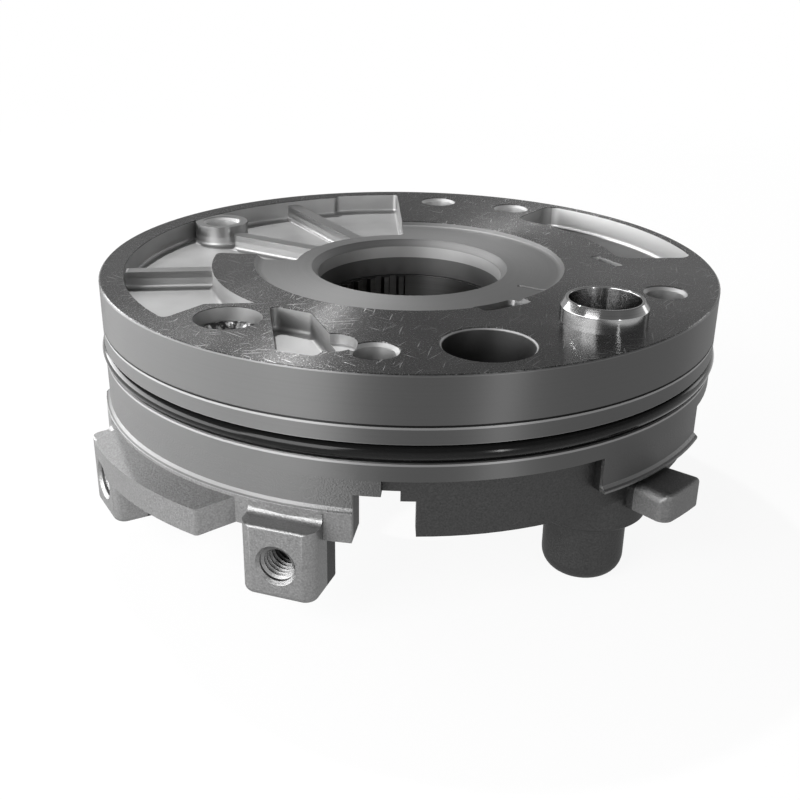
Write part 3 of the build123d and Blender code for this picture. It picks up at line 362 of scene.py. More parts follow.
class MaterialShop:
    """Makes the material of each finish once."""

    RING_ROUGH = (0.8, 1.3)
    RING_TINT = (0.75, 1.25)
    RING_DRAWN = 0.75
    ACROSS_GROOVE = 0.25
    FLAKE_EDGE = (0.52, 0.16)
    FLAKE_TINT = (0.25, 2.6)
    STROKE_TURNS = (12.0, 57.0, -38.0, 81.0)
    STROKE_SCALE = (0.045, 1.0, 1.0)
    STROKE_EDGE = (0.73, 0.06)

    def __init__(self) -> None:
        """Starts with no materials made."""
        self.made: dict[str, Material] = {}

    def get(self, finish: Finish) -> Material:
        """Returns the material of a finish, made on first use."""
        if finish.slot not in self.made:
            self.made[finish.slot] = self.build(finish)
        return self.made[finish.slot]

    def build(self, finish: Finish) -> Material:
        """Builds the node tree of one finish."""
        material = bpy.data.materials.new(finish.slot + "_look")
        material.use_nodes = True
        sheet = NodeSheet(material.node_tree)
        shader = sheet.add("ShaderNodeBsdfPrincipled", Metallic=finish.metallic, Roughness=finish.roughness,
                           Base_Color=finish.colour, Specular_IOR_Level=SPECULAR_LEVEL)
        if finish.metallic:
            shader.inputs["Specular Tint"].default_value = (*[EDGE_TINT] * 3, 1.0)
        sheet.add("ShaderNodeOutputMaterial", Surface=shader.outputs[0])
        where = sheet.add("ShaderNodeTexCoord").outputs["Object"]
        painters: dict[Grain, Callable] = {
            Grain.HOUSING: self.housing, Grain.TURNED: self.turned, Grain.ROUGH: self.rough}
        if finish.grain in painters:
            painters[finish.grain](sheet, shader, where, finish)
        return material

    @staticmethod
    def tint(sheet: NodeSheet, shader: Node, factor: object, finish: Finish, strengths: Point) -> None:
        """Scales the base colour between two strengths by a factor."""
        ramp = sheet.tree.nodes.new("ShaderNodeMix")
        ramp.data_type = "RGBA"
        sheet.feed(ramp.inputs["Factor"], factor)
        for name, strength in zip("AB", strengths):
            ramp.inputs[name].default_value = (*[c * strength for c in finish.colour[:3]], 1.0)
        sheet.feed(shader.inputs["Base Color"], ramp.outputs["Result"])

    @staticmethod
    def bump(sheet: NodeSheet, shader: Node, height: object, depth: float) -> None:
        """Drives the shader's normal from a height in 0 to 1."""
        node = sheet.add("ShaderNodeBump", Strength=1.0, Distance=depth, Height=height)
        sheet.feed(shader.inputs["Normal"], node.outputs["Normal"])

    @staticmethod
    def round_axis(sheet: NodeSheet, where: object, axis: tuple[float, float]) -> Polar:
        """Returns the radius, height and direction of the grooves at each place."""
        apart = sheet.add("ShaderNodeSeparateXYZ", Vector=where)
        across = sheet.sum("SUBTRACT", apart.outputs[0], axis[0])
        forth = sheet.sum("SUBTRACT", apart.outputs[1], axis[1])
        groove = sheet.add("ShaderNodeCombineXYZ", X=sheet.both(forth, -1.0), Y=across, Z=0.0)
        turn = sheet.add("ShaderNodeVectorTransform", Vector=groove.outputs[0])
        turn.convert_from, turn.convert_to = "OBJECT", "WORLD"
        return Polar(sheet, across, forth, sheet.length(across, forth), apart.outputs[2], turn.outputs[0])

    @classmethod
    def brush(cls, sheet: NodeSheet, shader: Node, place: Polar, strength: object) -> None:
        """Draws the highlights out across the grooves that run round an axis."""
        sheet.feed(shader.inputs["Tangent"], place.groove)
        sheet.feed(shader.inputs["Anisotropic"], strength)
        shader.inputs["Anisotropic Rotation"].default_value = cls.ACROSS_GROOVE

    def turned(self, sheet: NodeSheet, shader: Node, where: object, finish: Finish) -> None:
        """Fine rings left by turning, about the finish's axis."""
        place = self.round_axis(sheet, where, finish.axis)
        fine = sheet.noise(place.rings(), TURNED_RINGS)
        sheet.feed(shader.inputs["Roughness"], sheet.mix(fine, *[finish.roughness * part for part in self.RING_ROUGH]))
        self.tint(sheet, shader, fine, finish, self.RING_TINT)
        self.bump(sheet, shader, fine, finish.depth)
        self.brush(sheet, shader, place, self.RING_DRAWN)

    def rough(self, sheet: NodeSheet, shader: Node, where: object, finish: Finish) -> None:
        """Dented bright metal, as on a pressed-in plug."""
        flakes = sheet.step(sheet.noise(where, FLAKES), *self.FLAKE_EDGE)
        self.tint(sheet, shader, flakes, finish, self.FLAKE_TINT)
        self.bump(sheet, shader, sheet.noise(where, DENTS), finish.depth)

    def housing(self, sheet: NodeSheet, shader: Node, where: object, finish: Finish) -> None:
        """Lapped face, turned bands, milled galleries and cast skin, told apart by where they lie, with painted light
        and painted shade on some walls, floors, edges and rib tops.
        """
        zone = HousingZones()
        place = self.round_axis(sheet, where, finish.axis)
        shallow = sheet.step(place.height, zone.recess_z)
        milled = sheet.step(place.height, zone.machined_z)
        band = sheet.both(sheet.step(place.radius, zone.band_r), sheet.step(place.height, zone.ledge_z))
        recess = sheet.both(shallow, sheet.under(place.radius, zone.recess_r))
        lines = sheet.noise(place.rings(), TURNING_LINES)
        skin, patches = sheet.noise(where, CAST_SKIN), sheet.noise(where, PATCHES)
        marks = self.scratches(sheet, where)
        worn = sheet.sum("MAXIMUM", marks, sheet.step(sheet.noise(where, SPECKS), *zone.speck_edge))
        grain = sheet.step(sheet.noise(where, LAPPED_GRAIN), *zone.grain_edge)
        face = sheet.both(zone.top.vary(sheet, patches), sheet.mix(grain, *zone.grain_strength))
        ribs: object = 0.0
        for in_r, way, half in zone.ribs:
            rib = sheet.both(sheet.ring(place.radius, in_r, zone.rib_out_r), place.sector(way, half))
            ribs = sheet.sum("MAXIMUM", ribs, rib)
        # painted shade: milled floors deeper than the galleries, in the kidney pocket, are darkened
        floor = sheet.blend(sheet.under(place.height, zone.deep_z), zone.milled.shade, zone.deep_painted_shade)
        # painted light: the outer cast skin is made lighter on the side that faces the lamps
        outside = sheet.mix(place.facing(zone.lit_side_way), zone.cast.shade, zone.painted_light_cast_shade)
        # painted shade: cast walls nearer the axis, under the body, are darkened
        cast = sheet.blend(sheet.step(place.radius, zone.inner_cast_r), zone.inner_cast_painted_shade, outside)
        layers: list[Layer] = [
            zone.cast.layer(sheet, 1.0, zone.cast.vary(sheet, skin, cast), skin),
            zone.milled.layer(sheet, milled, zone.milled.vary(sheet, patches, floor), patches),
            # the band layer carries painted glints and painted shade on its edge lines
            zone.band.layer(sheet, band, self.painted_edge_lines(sheet, place, zone, zone.band.vary(sheet, lines)), lines),
            zone.recess.layer(sheet, recess, zone.recess.vary(sheet, lines), lines),
            zone.top.layer(sheet, sheet.step(place.height, zone.top_z), sheet.blend(worn, face, zone.worn_shade), worn),
            # painted highlight on the rib tops
            zone.rib.layer(sheet, sheet.both(ribs, shallow), zone.rib.shade, patches),
            *self.walls(sheet, place, zone),
        ]
        shade: object = 0.0
        rough: object = 0.0
        drawn: object = 0.0
        for mask, colour, roughness, brushed in layers:
            shade = sheet.blend(mask, shade, colour)
            rough = sheet.blend(mask, rough, roughness)
            drawn = sheet.blend(mask, drawn, brushed)
        sheet.feed(shader.inputs["Base Color"], sheet.grey(shade))
        sheet.feed(shader.inputs["Roughness"], rough)
        relief = sheet.blend(milled, skin, sheet.blend(*zone.relief, sheet.blend(band, marks, lines)))
        self.bump(sheet, shader, relief, finish.depth * zone.relief_depth)
        self.brush(sheet, shader, place, drawn)

    @staticmethod
    def walls(sheet: NodeSheet, place: Polar, zone: HousingZones) -> list[Layer]:
        """Returns the layers of painted light and painted shade on the holes' walls, and of painted light on the kidney
        pocket's outer wall.
        """
        below = sheet.under(place.height, zone.hole_top_z)
        layers: list[Layer] = []
        # painted light and painted shade on the holes' walls
        for pitch_r, way, hole_r, shade, rough in zone.holes:
            near = sheet.under(place.reach(pitch_r, way), hole_r)
            layers.append((sheet.both(below, near), shade, rough, 0.0))
        # painted light on the kidney pocket's outer wall
        in_r, out_r, way, half = zone.kidney
        wall = sheet.both(sheet.ring(place.radius, in_r, out_r), place.sector(way, half))
        deeper = sheet.both(below, sheet.step(place.height, zone.deep_z))
        return [*layers, (sheet.both(wall, deeper), zone.wall_painted_light, zone.wall_rough, 0.0)]

    @staticmethod
    def painted_edge_lines(sheet: NodeSheet, place: Polar, zone: HousingZones, shade: object) -> object:
        """Paints glints on the edges of the turned bands and paints shade into the witness line."""
        for low, high, value in zone.lines:
            shade = sheet.blend(sheet.ring(place.height, low * MM, high * MM), shade, value)
        return shade

    @classmethod
    def scratches(cls, sheet: NodeSheet, where: object) -> object:
        """Returns fine straight scratches in several directions."""
        total: object = 0.0
        for turn in cls.STROKE_TURNS:
            along = sheet.stretched(where, cls.STROKE_SCALE, turn)
            total = sheet.sum("MAXIMUM", total, sheet.step(sheet.noise(along, STROKES), *cls.STROKE_EDGE))
        return total


SHOP = MaterialShop()


# ---- mesh helpers

def polar(radius: float, angle: float) -> Point:
    """Returns the point at a radius and an angle in degrees."""
    return (radius * math.cos(math.radians(angle)), radius * math.sin(math.radians(angle)))


def new_object(name: str, mesh: BMesh) -> Object:
    """Turns a bmesh into a linked object with outward faces."""
    bmesh.ops.recalc_face_normals(mesh, faces=mesh.faces)
    data = bpy.data.meshes.new(name)
    mesh.to_mesh(data)
    mesh.free()
    thing = bpy.data.objects.new(name, data)
    bpy.context.collection.objects.link(thing)
    return thing


def finish_piece(thing: Object, finish: Finish, body: str, replaces: str = "") -> Object:
    """Gives a piece its material and body, and lets it stand for a CAD node.

    Args:
        thing: the piece, in the row frame.
        finish: its finish.
        body: CAD body it rides on.
        replaces: CAD node it stands for, or nothing.

    Returns:
        The piece.
    """
    thing.data.materials.clear()
    thing.data.materials.append(SHOP.get(finish))
    if replaces:
        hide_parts(replaces)
    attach(thing, body)
    return thing


def apply_modifiers(thing: Object) -> None:
    """Bakes the modifiers of a piece into its mesh."""
    graph = bpy.context.evaluated_depsgraph_get()
    baked = bpy.data.meshes.new_from_object(thing.evaluated_get(graph))
    thing.modifiers.clear()
    thing.data = baked


def soften(thing: Object, width: float, angle: float = 28.0, segments: int = 2) -> None:
    """Rounds the sharp edges of a piece and weights its normals to the flat faces."""
    for face in thing.data.polygons:
        face.use_smooth = True
    bevel = thing.modifiers.new("edges", "BEVEL")
    bevel.width = width
    bevel.segments = segments
    bevel.limit_method = "ANGLE"
    bevel.angle_limit = math.radians(angle)
    bevel.harden_normals = False
    weights = thing.modifiers.new("normals", "WEIGHTED_NORMAL")
    weights.keep_sharp = True
    apply_modifiers(thing)


def cad_copy(node: str, name: str) -> Object:
    """Returns a merged copy of a CAD node, with its flat faces whole again."""
    mesh = bmesh.new()
    mesh.from_mesh(frame["nodes"][node].data)
    bmesh.ops.remove_doubles(mesh, verts=mesh.verts, dist=0.002 * MM)
    bmesh.ops.dissolve_limit(mesh, angle_limit=math.radians(0.4), verts=mesh.verts, edges=mesh.edges,
                             use_dissolve_boundaries=False)
    return new_object(name, mesh)


@dataclass(frozen=True)
class Corner:
    """Corner of a turned profile: radius, height and rounding, in millimetres."""

    r: float
    z: float
    rounding: float = 0.0


def bridge(mesh: BMesh, loops: list[list[BMVert]], closed: bool) -> None:
    """Joins each loop of points to the next with four-sided faces, and the last to the first if closed."""
    for first, second in zip(loops, loops[1:] + loops[:1] if closed else loops[1:]):
        for n, point in enumerate(first):
            m = (n + 1) % len(first)
            mesh.faces.new((point, second[n], second[m], first[m]))


def rounded_profile(corners: list[Corner], steps: int = 5) -> list[Point]:
    """Returns the closed outline of a profile with each rounding drawn as an arc."""
    outline: list[Point] = []
    for before, corner, after in zip(corners[-1:] + corners[:-1], corners, corners[1:] + corners[:1]):
        here = Vector((corner.r, corner.z))
        if corner.rounding <= 0.0:
            outline.append((here.x, here.y))
            continue
        to_before = (Vector((before.r, before.z)) - here).normalized()
        to_after = (Vector((after.r, after.z)) - here).normalized()
        half = to_before.angle(to_after) / 2
        reach = corner.rounding / math.tan(half)
        centre = here + (to_before + to_after).normalized() * (corner.rounding / math.sin(half))
        start = here + to_before * reach - centre
        end = here + to_after * reach - centre
        for n in range(steps + 1):
            spoke = start.slerp(end, n / steps).normalized() * start.length
            outline.append((centre.x + spoke.x, centre.y + spoke.y))
    return outline


def lathe(name: str, corners: list[tuple[float, ...]], at: Point = (0.0, 0.0), segments: int = 128) -> Object:
    """Turns a closed profile about the vertical through a point.

    Args:
        name: piece name.
        corners: radius, height and, if any, rounding of each corner, in millimetres.
        at: axis in millimetres.
        segments: steps round the axis.

    Returns:
        The turned piece.
    """
    outline = rounded_profile([Corner(*values) for values in corners])
    mesh = bmesh.new()
    loops = []
    for n in range(segments):
        spoke = polar(1.0, 360.0 * n / segments)
        loops.append([mesh.verts.new(((at[0] + r * spoke[0]) * MM, (at[1] + r * spoke[1]) * MM, z * MM))
                      for r, z in outline])
    bridge(mesh, loops, True)
    bmesh.ops.remove_doubles(mesh, verts=mesh.verts, dist=0.0005 * MM)
    bmesh.ops.dissolve_degenerate(mesh, edges=mesh.edges, dist=0.0005 * MM)
    thing = new_object(name, mesh)
    shade_by_angle(thing, 35.0)
    return thing


def shade_by_angle(thing: Object, angle: float) -> None:
    """Smooths a piece and keeps the edges sharper than an angle."""
    mesh = bmesh.new()
    mesh.from_mesh(thing.data)
    for face in mesh.faces:
        face.smooth = True
    for edge in mesh.edges:
        edge.smooth = len(edge.link_faces) == 2 and edge.calc_face_angle(0.0) < math.radians(angle)
    mesh.to_mesh(thing.data)
    mesh.free()


def slab(name: str, rims: list[list[Point]], z_top: float, z_low: float) -> Object:
    """Raises a flat region between closed rims into a solid.

    Args:
        name: piece name.
        rims: outer rim first, then the holes, in millimetres.
        z_top: height of the top face.
        z_low: height of the bottom face.

    Returns:
        The solid piece.
    """
    mesh = bmesh.new()
    for rim in rims:
        ring = [mesh.verts.new((x * MM, y * MM, z_low * MM)) for x, y in rim]
        for first, second in zip(ring, ring[1:] + ring[:1]):
            mesh.edges.new((first, second))
    bmesh.ops.triangle_fill(mesh, use_beauty=True, edges=mesh.edges[:])
    raised = bmesh.ops.extrude_face_region(mesh, geom=mesh.faces[:])
    moved = [part for part in raised["geom"] if isinstance(part, BMVert)]
    bmesh.ops.translate(mesh, verts=moved, vec=(0.0, 0.0, (z_top - z_low) * MM))
    bmesh.ops.dissolve_limit(mesh, angle_limit=math.radians(0.2), verts=mesh.verts, edges=mesh.edges)
    return new_object(name, mesh)


def circle(radius: float, count: int, at: Point = (0.0, 0.0)) -> list[Point]:
    """Returns a circle as evenly spaced points."""
    return [(at[0] + x, at[1] + y) for x, y in (polar(radius, 360.0 * n / count) for n in range(count))]


def sweep(name: str, path: list[Vector], section: list[Point],
          frames: list[tuple[Vector, Vector]]) -> Object:
    """Sweeps a closed section along an open path and caps both ends.

    Args:
        name: piece name.
        path: centre points in metres.
        section: closed section in metres.
        frames: the section's two axes at each point.

    Returns:
        The swept piece.
    """
    mesh = bmesh.new()
    rings = [[mesh.verts.new(centre + across * x + up * y) for x, y in section]
             for centre, (across, up) in zip(path, frames)]
    bridge(mesh, rings, False)
    mesh.faces.new(rings[0][::-1])
    mesh.faces.new(rings[-1])
    return new_object(name, mesh)


# ---- housing

@dataclass(frozen=True)
class ThreadSize:
    """Internal thread in a radial lug hole, in millimetres; the flanks are shares of the pitch."""

    major_r: float = 4.0
    minor_r: float = 3.35
    pitch: float = 1.25
    start: float = 82.9
    turns: int = 7
    steps: int = 40
    root_half: float = 0.46
    crest_half: float = 0.08
    bite: float = 0.05
    height: float = -43.0
    angles: tuple[float, ...] = (251.1, 210.6)


@dataclass(frozen=True)
class Housing:
    """Body casting, softened, with threads cut in its lugs."""

    thread: ThreadSize = ThreadSize()
    edge: float = 0.22 * MM

    def build(self) -> None:
        """Makes the casting and its threads."""
        casting = cad_copy("pump_housing", "housing_casting")
        soften(casting, self.edge, 24.0)
        finish_piece(casting, MACHINED, BODY, "pump_housing")
        for number, angle in enumerate(self.thread.angles, 1):
            self.thread_in(f"lug_thread_{number}", angle)

    def thread_in(self, name: str, angle: float) -> None:
        """Cuts one thread as a ridge that winds down its hole."""
        size = self.thread
        out = Vector((*polar(1.0, angle), 0.0))
        side = Vector((-out.y, out.x, 0.0))
        up = Vector((0.0, 0.0, 1.0))
        origin = Vector((0.0, 0.0, size.height * MM))
        path, frames = [], []
        for n in range(size.turns * size.steps + 1):
            swing = TURN * n / size.steps
            spoke = side * math.cos(swing) + up * math.sin(swing)
            depth = size.start - size.pitch * n / size.steps
            path.append(origin + out * depth * MM + spoke * size.major_r * MM)
            frames.append((spoke, out))
        crest = size.major_r - size.minor_r
        root, tip = size.pitch * size.root_half, size.pitch * size.crest_half
        section = [(size.bite, -root), (size.bite, root), (-crest, tip), (-crest, -tip)]
        ridge = sweep(name, path, [(x * MM, y * MM) for x, y in section], frames)
        shade_by_angle(ridge, 30.0)
        finish_piece(ridge, MACHINED, BODY)


# ---- rings and sleeve

@dataclass(frozen=True)
class RingSize:
    """Sealing ring, in millimetres."""

    centre_r: float = 76.85
    section_r: float = 1.75
    height: float = -17.4
    flash_depth: float = 0.06
    points: int = 28


@dataclass(frozen=True)
class SealRing:
    """Sealing ring in the housing's groove."""

    size: RingSize = RingSize()

    def build(self) -> None:
        """Turns the ring with a faint moulding line."""
        size = self.size
        corners = []
        for n in range(size.points):
            flash = size.flash_depth if n in (0, size.points // 2) else 0.0
            r, z = polar(size.section_r + flash - size.flash_depth, 360.0 * n / size.points)
            corners.append((size.centre_r + r, size.height + z))
        ring = lathe("seal_ring", corners, segments=256)
        finish_piece(ring, RUBBER, BODY, "body_o_ring")


@dataclass(frozen=True)
class SleeveSize:
    """Feed sleeve, in millimetres."""

    centre: Point = polar(61.75, 314.07)
    outside_r: float = 9.8
    bore_r: float = 8.0
    seat_r: float = 5.2
    top: float = 5.2
    bottom: float = -8.0
    seat_top: float = -6.0
    chamfer_width: float = 1.1
    chamfer_height: float = 1.7


@dataclass(frozen=True)
class FeedSleeve:
    """Bright turned sleeve that stands out of the joint face."""

    size: SleeveSize = SleeveSize()

    def build(self) -> None:
        """Turns the sleeve."""
        s = self.size
        corners = [
            (s.seat_r, s.bottom, 0.1), (s.outside_r, s.bottom, 0.1),
            (s.outside_r, s.top - s.chamfer_height, 0.25),
            (s.outside_r - s.chamfer_width, s.top, 0.2), (s.bore_r, s.top, 0.25),
            (s.bore_r, s.seat_top, 0.2), (s.seat_r, s.seat_top, 0.1),
        ]
        finish_piece(lathe("feed_sleeve_turned", corners, s.centre, 96), TURNED_STEEL, BODY, "feed_sleeve")


@dataclass(frozen=True)
class PlugSize:
    """Pressed gallery plug, in millimetres."""

    centre: Point = polar(61.5, 229.4)
    radius: float = 7.7
    top: float = -3.4
    thickness: float = 5.0
    rim: float = 1.0
    slope: float = 0.7
    dish: float = 1.4
    dome: float = 0.8            # depth of the middle, as a share of the dish


@dataclass(frozen=True)
class GalleryPlug:
    """Dished plug with a rough face."""

    size: PlugSize = PlugSize()

    def build(self) -> None:
        """Turns the plug."""
        s = self.size
        corners = [
            (0.0, s.top - s.thickness), (s.radius, s.top - s.thickness, 0.3), (s.radius, s.top, 0.3),
            (s.radius - s.rim, s.top, 0.3), (s.radius - s.rim - s.slope, s.top - s.dish, 0.5),
            (0.0, s.top - s.dish * s.dome),
        ]
        finish_piece(lathe("gallery_plug_dished", corners, s.centre, 72), PLUG_METAL, BODY, "gallery_plug")


# ---- rotor set

@dataclass(frozen=True)
class RotorSize:
    """Rotor pair, in millimetres and degrees."""

    inner_lobes: int = 8
    eccentricity: float = 3.0
    lobe_circle_r: float = 37.8
    lobe_r: float = 7.8
    gap: float = 0.12
    outer_r: float = 42.0
    top: float = -11.05
    low: float = -24.95
    spline_root_r: float = 22.7
    spline_tip_r: float = 21.0
    pitches: int = 32
    group_teeth: int = 5
    groups: int = 3
    first_tooth: float = 95.6
    root_half: float = 0.28      # half widths of a spline tooth, as shares of the pitch
    tip_half: float = 0.17
    lead: float = 0.35
    lobe_points: int = 28
    root_clearance: float = 0.3
    arc_steps: int = 16
    root_steps: int = 8


@dataclass(frozen=True)
class RotorSet:
    """Splined inner rotor and the lobed ring it drives."""

    size: RotorSize = RotorSize()

    def build(self) -> None:
        """Makes both rotors."""
        s = self.size
        inner = slab("inner_rotor", [self.inner_rim(), self.spline_rim()], s.top, s.low)
        soften(inner, s.lead * MM, 40.0)
        finish_piece(inner, SINTERED, "inner_rotor", "drive_rotor")
        ring = slab("ring_rotor", [circle(s.outer_r, 144, (0.0, s.eccentricity)), self.ring_rim()], s.top, s.low)
        soften(ring, s.lead * MM, 40.0)
        finish_piece(ring, SINTERED, "ring_rotor", "outer_rotor")

    def inner_rim(self) -> list[Point]:
        """Outline of the inner rotor: the path of the ring's lobes, set in by their radius."""
        s = self.size
        lobes = s.inner_lobes + 1
        rim = []
        count = s.inner_lobes * s.lobe_points
        for n in range(count):
            u = TURN * n / count
            big, small = cmath.rect(s.lobe_circle_r, u), cmath.rect(s.eccentricity, lobes * u)
            along = 1j * (big + lobes * small)
            edge = big + small + 1j * along / abs(along) * (s.lobe_r + s.gap)
            rim.append((-edge.imag, edge.real))
        return rim

    def ring_rim(self) -> list[Point]:
        """Inside outline of the ring: round lobes joined by the root circle."""
        s = self.size
        root_r = s.lobe_circle_r - s.lobe_r + 2 * s.eccentricity + s.root_clearance
        reach = (root_r ** 2 + s.lobe_circle_r ** 2 - s.lobe_r ** 2) / (2 * root_r * s.lobe_circle_r)
        half = math.degrees(math.acos(reach))
        pitch = 360.0 / (s.inner_lobes + 1)
        rim = []
        for lobe in range(s.inner_lobes + 1):
            middle = 90.0 + lobe * pitch
            centre = polar(s.lobe_circle_r, middle)
            edge = polar(root_r, middle - half)
            start = math.degrees(math.atan2(edge[1] - centre[1], edge[0] - centre[0]))
            sweep_angle = 2 * ((middle + 180.0 - start + 180.0) % 360.0 - 180.0)
            for n in range(s.arc_steps + 1):
                x, y = polar(s.lobe_r, start + sweep_angle * n / s.arc_steps)
                rim.append((centre[0] + x, centre[1] + y))
            rim += [polar(root_r, middle + half + (pitch - 2 * half) * n / s.root_steps)
                    for n in range(1, s.root_steps)]
        return [(x, y + s.eccentricity) for x, y in rim]

    def spline_rim(self) -> list[Point]:
        """Bore of the inner rotor, with its groups of teeth."""
        s = self.size
        pitch = 360.0 / s.pitches
        root_half, tip_half = pitch * s.root_half, pitch * s.tip_half
        teeth = sorted(((s.first_tooth + group * 360.0 / s.groups + tooth * pitch) % 360.0)
                       for group in range(s.groups) for tooth in range(s.group_teeth))
        rim: list[Point] = []
        for tooth, following in zip(teeth, teeth[1:] + [teeth[0] + 360.0]):
            for radius, offset in ((s.spline_root_r, -root_half), (s.spline_tip_r, -tip_half),
                                   (s.spline_tip_r, tip_half), (s.spline_root_r, root_half)):
                rim.append(polar(radius, tooth + offset))
            span = following - tooth - 2 * root_half
            count = max(2, int(span / 3.0))
            rim += [polar(s.spline_root_r, tooth + root_half + span * n / count) for n in range(1, count)]
        return rim


# ---- cover side

@dataclass(frozen=True)
class CoverSize:
    """Cover, bush, seal and fasteners, in millimetres."""

    seat_z: float = -25.0
    flange_low_z: float = -33.0
    hub_low_z: float = -46.0
    bush_r: float = 24.9
    bush_bore_r: float = 22.6
    seal_r: float = 30.0
    seal_length: float = 8.0
    lip_r: float = 22.62
    screw_circle_r: float = 49.7
    screw_count: int = 7
    screw_r: float = 3.0
    head_r: float = 5.0
    head_height: float = 5.0
    socket_r: float = 2.9
    socket_depth: float = 2.6
    engagement: float = 10.0
    garter_r: float = 0.8
    wire_r: float = 0.22


@dataclass(frozen=True)
class CoverSide:
    """Cover with its bush, hub seal and screws."""

    size: CoverSize = CoverSize()

    def build(self) -> None:
        """Makes each piece of the cover side."""
        cover = cad_copy("pump_cover", "cover_plate")
        soften(cover, 0.25 * MM, 28.0)
        finish_piece(cover, COVER_IRON, BODY, "pump_cover")
        self.bush()
        self.seal()
        self.screws()

    def bush(self) -> None:
        """Turns the bearing bush."""
        s = self.size
        top, low = s.seat_z - 0.6, s.hub_low_z + s.seal_length + 1.0
        corners = [(s.bush_bore_r, top, 0.4), (s.bush_bore_r, low, 0.4), (s.bush_r, low, 0.2),
                   (s.bush_r, top, 0.2)]
        finish_piece(lathe("bush", corners), BRONZE, BODY, "hub_bush")

    def seal(self) -> None:
        """Turns the seal's case, lip and garter spring."""
        s = self.size
        low = s.hub_low_z + 0.4
        top = s.hub_low_z + s.seal_length
        case = [(s.seal_r, top, 0.8), (s.seal_r, low, 0.2), (s.seal_r - 1.0, low, 0.2),
                (s.seal_r - 1.0, top - 1.0, 0.3), (s.lip_r + 3.4, top - 1.0, 0.2),
                (s.lip_r + 3.4, top, 0.2)]
        finish_piece(lathe("seal_shell", case), CASE_STEEL, BODY, "seal_case")
        roof = top - 1.0
        lip = [(s.seal_r - 1.0, roof), (s.seal_r - 1.0, roof - 1.6, 0.3),
               (s.lip_r + 4.2, roof - 1.6, 0.6), (s.lip_r + 3.3, s.hub_low_z + 1.2, 0.3),
               (s.lip_r + 0.6, s.hub_low_z + 0.8, 0.2), (s.lip_r, s.hub_low_z + 2.4, 0.1),
               (s.lip_r + 1.2, s.hub_low_z + 4.4, 0.4), (s.lip_r + 2.6, roof)]
        finish_piece(lathe("seal_rubber", lip), RUBBER, BODY, "seal_lip")
        self.garter()

    def garter(self) -> None:
        """Winds the garter spring as one closed coil."""
        s = self.size
        ring_r = s.lip_r + 4.8
        coil_r = s.garter_r - s.wire_r
        coils, steps, sides = 150, 10, 5
        mesh = bmesh.new()
        rings = []
        for n in range(coils * steps):
            swing = TURN * n / (coils * steps)
            wind = TURN * n / steps
            spoke = Vector((math.cos(swing), math.sin(swing), 0.0))
            lift = spoke * math.cos(wind) + Vector((0.0, 0.0, 1.0)) * math.sin(wind)
            centre = spoke * ring_r + Vector((0.0, 0.0, s.hub_low_z + 2.6)) + lift * coil_r
            along = Vector((-spoke.y, spoke.x, 0.0))
            rings.append([mesh.verts.new((centre + (lift * math.cos(a) + along * math.sin(a)) * s.wire_r) * MM)
                          for a in (side * TURN / sides for side in range(sides))])
        bridge(mesh, rings, True)
        coil = new_object("garter_coil", mesh)
        shade_by_angle(coil, 80.0)
        finish_piece(coil, SPRING_STEEL, BODY, "garter_spring")

    def screw(self) -> Object:
        """Returns one socket-head screw on the first angle, to be repeated by the circle tree."""
        s = self.size
        seat = s.flange_low_z
        low = seat - s.head_height
        corners = [(0.0, s.seat_z + s.engagement), (s.screw_r - 0.5, s.seat_z + s.engagement, 0.1),
                   (s.screw_r, s.seat_z + s.engagement - 0.6, 0.1), (s.screw_r, seat),
                   (s.head_r, seat, 0.15), (s.head_r, low, 0.5), (s.socket_r + 0.5, low, 0.1),
                   (s.socket_r - 0.1, low + 0.5), (s.socket_r - 0.1, low + s.socket_depth),
                   (0.0, low + s.socket_depth)]
        return lathe("cover_screw_model", corners, segments=36)

    def screws(self) -> None:
        """Repeats the screw round the cover with a node tree."""
        s = self.size
        model = self.screw()
        ring = CircleTree().run("cover_screw_ring", model, s.screw_circle_r * MM, s.screw_count, 90.0, FASTENER)
        shade_by_angle(ring, 35.0)
        finish_piece(ring, FASTENER, BODY, "cover_screws")
        bpy.data.objects.remove(model)


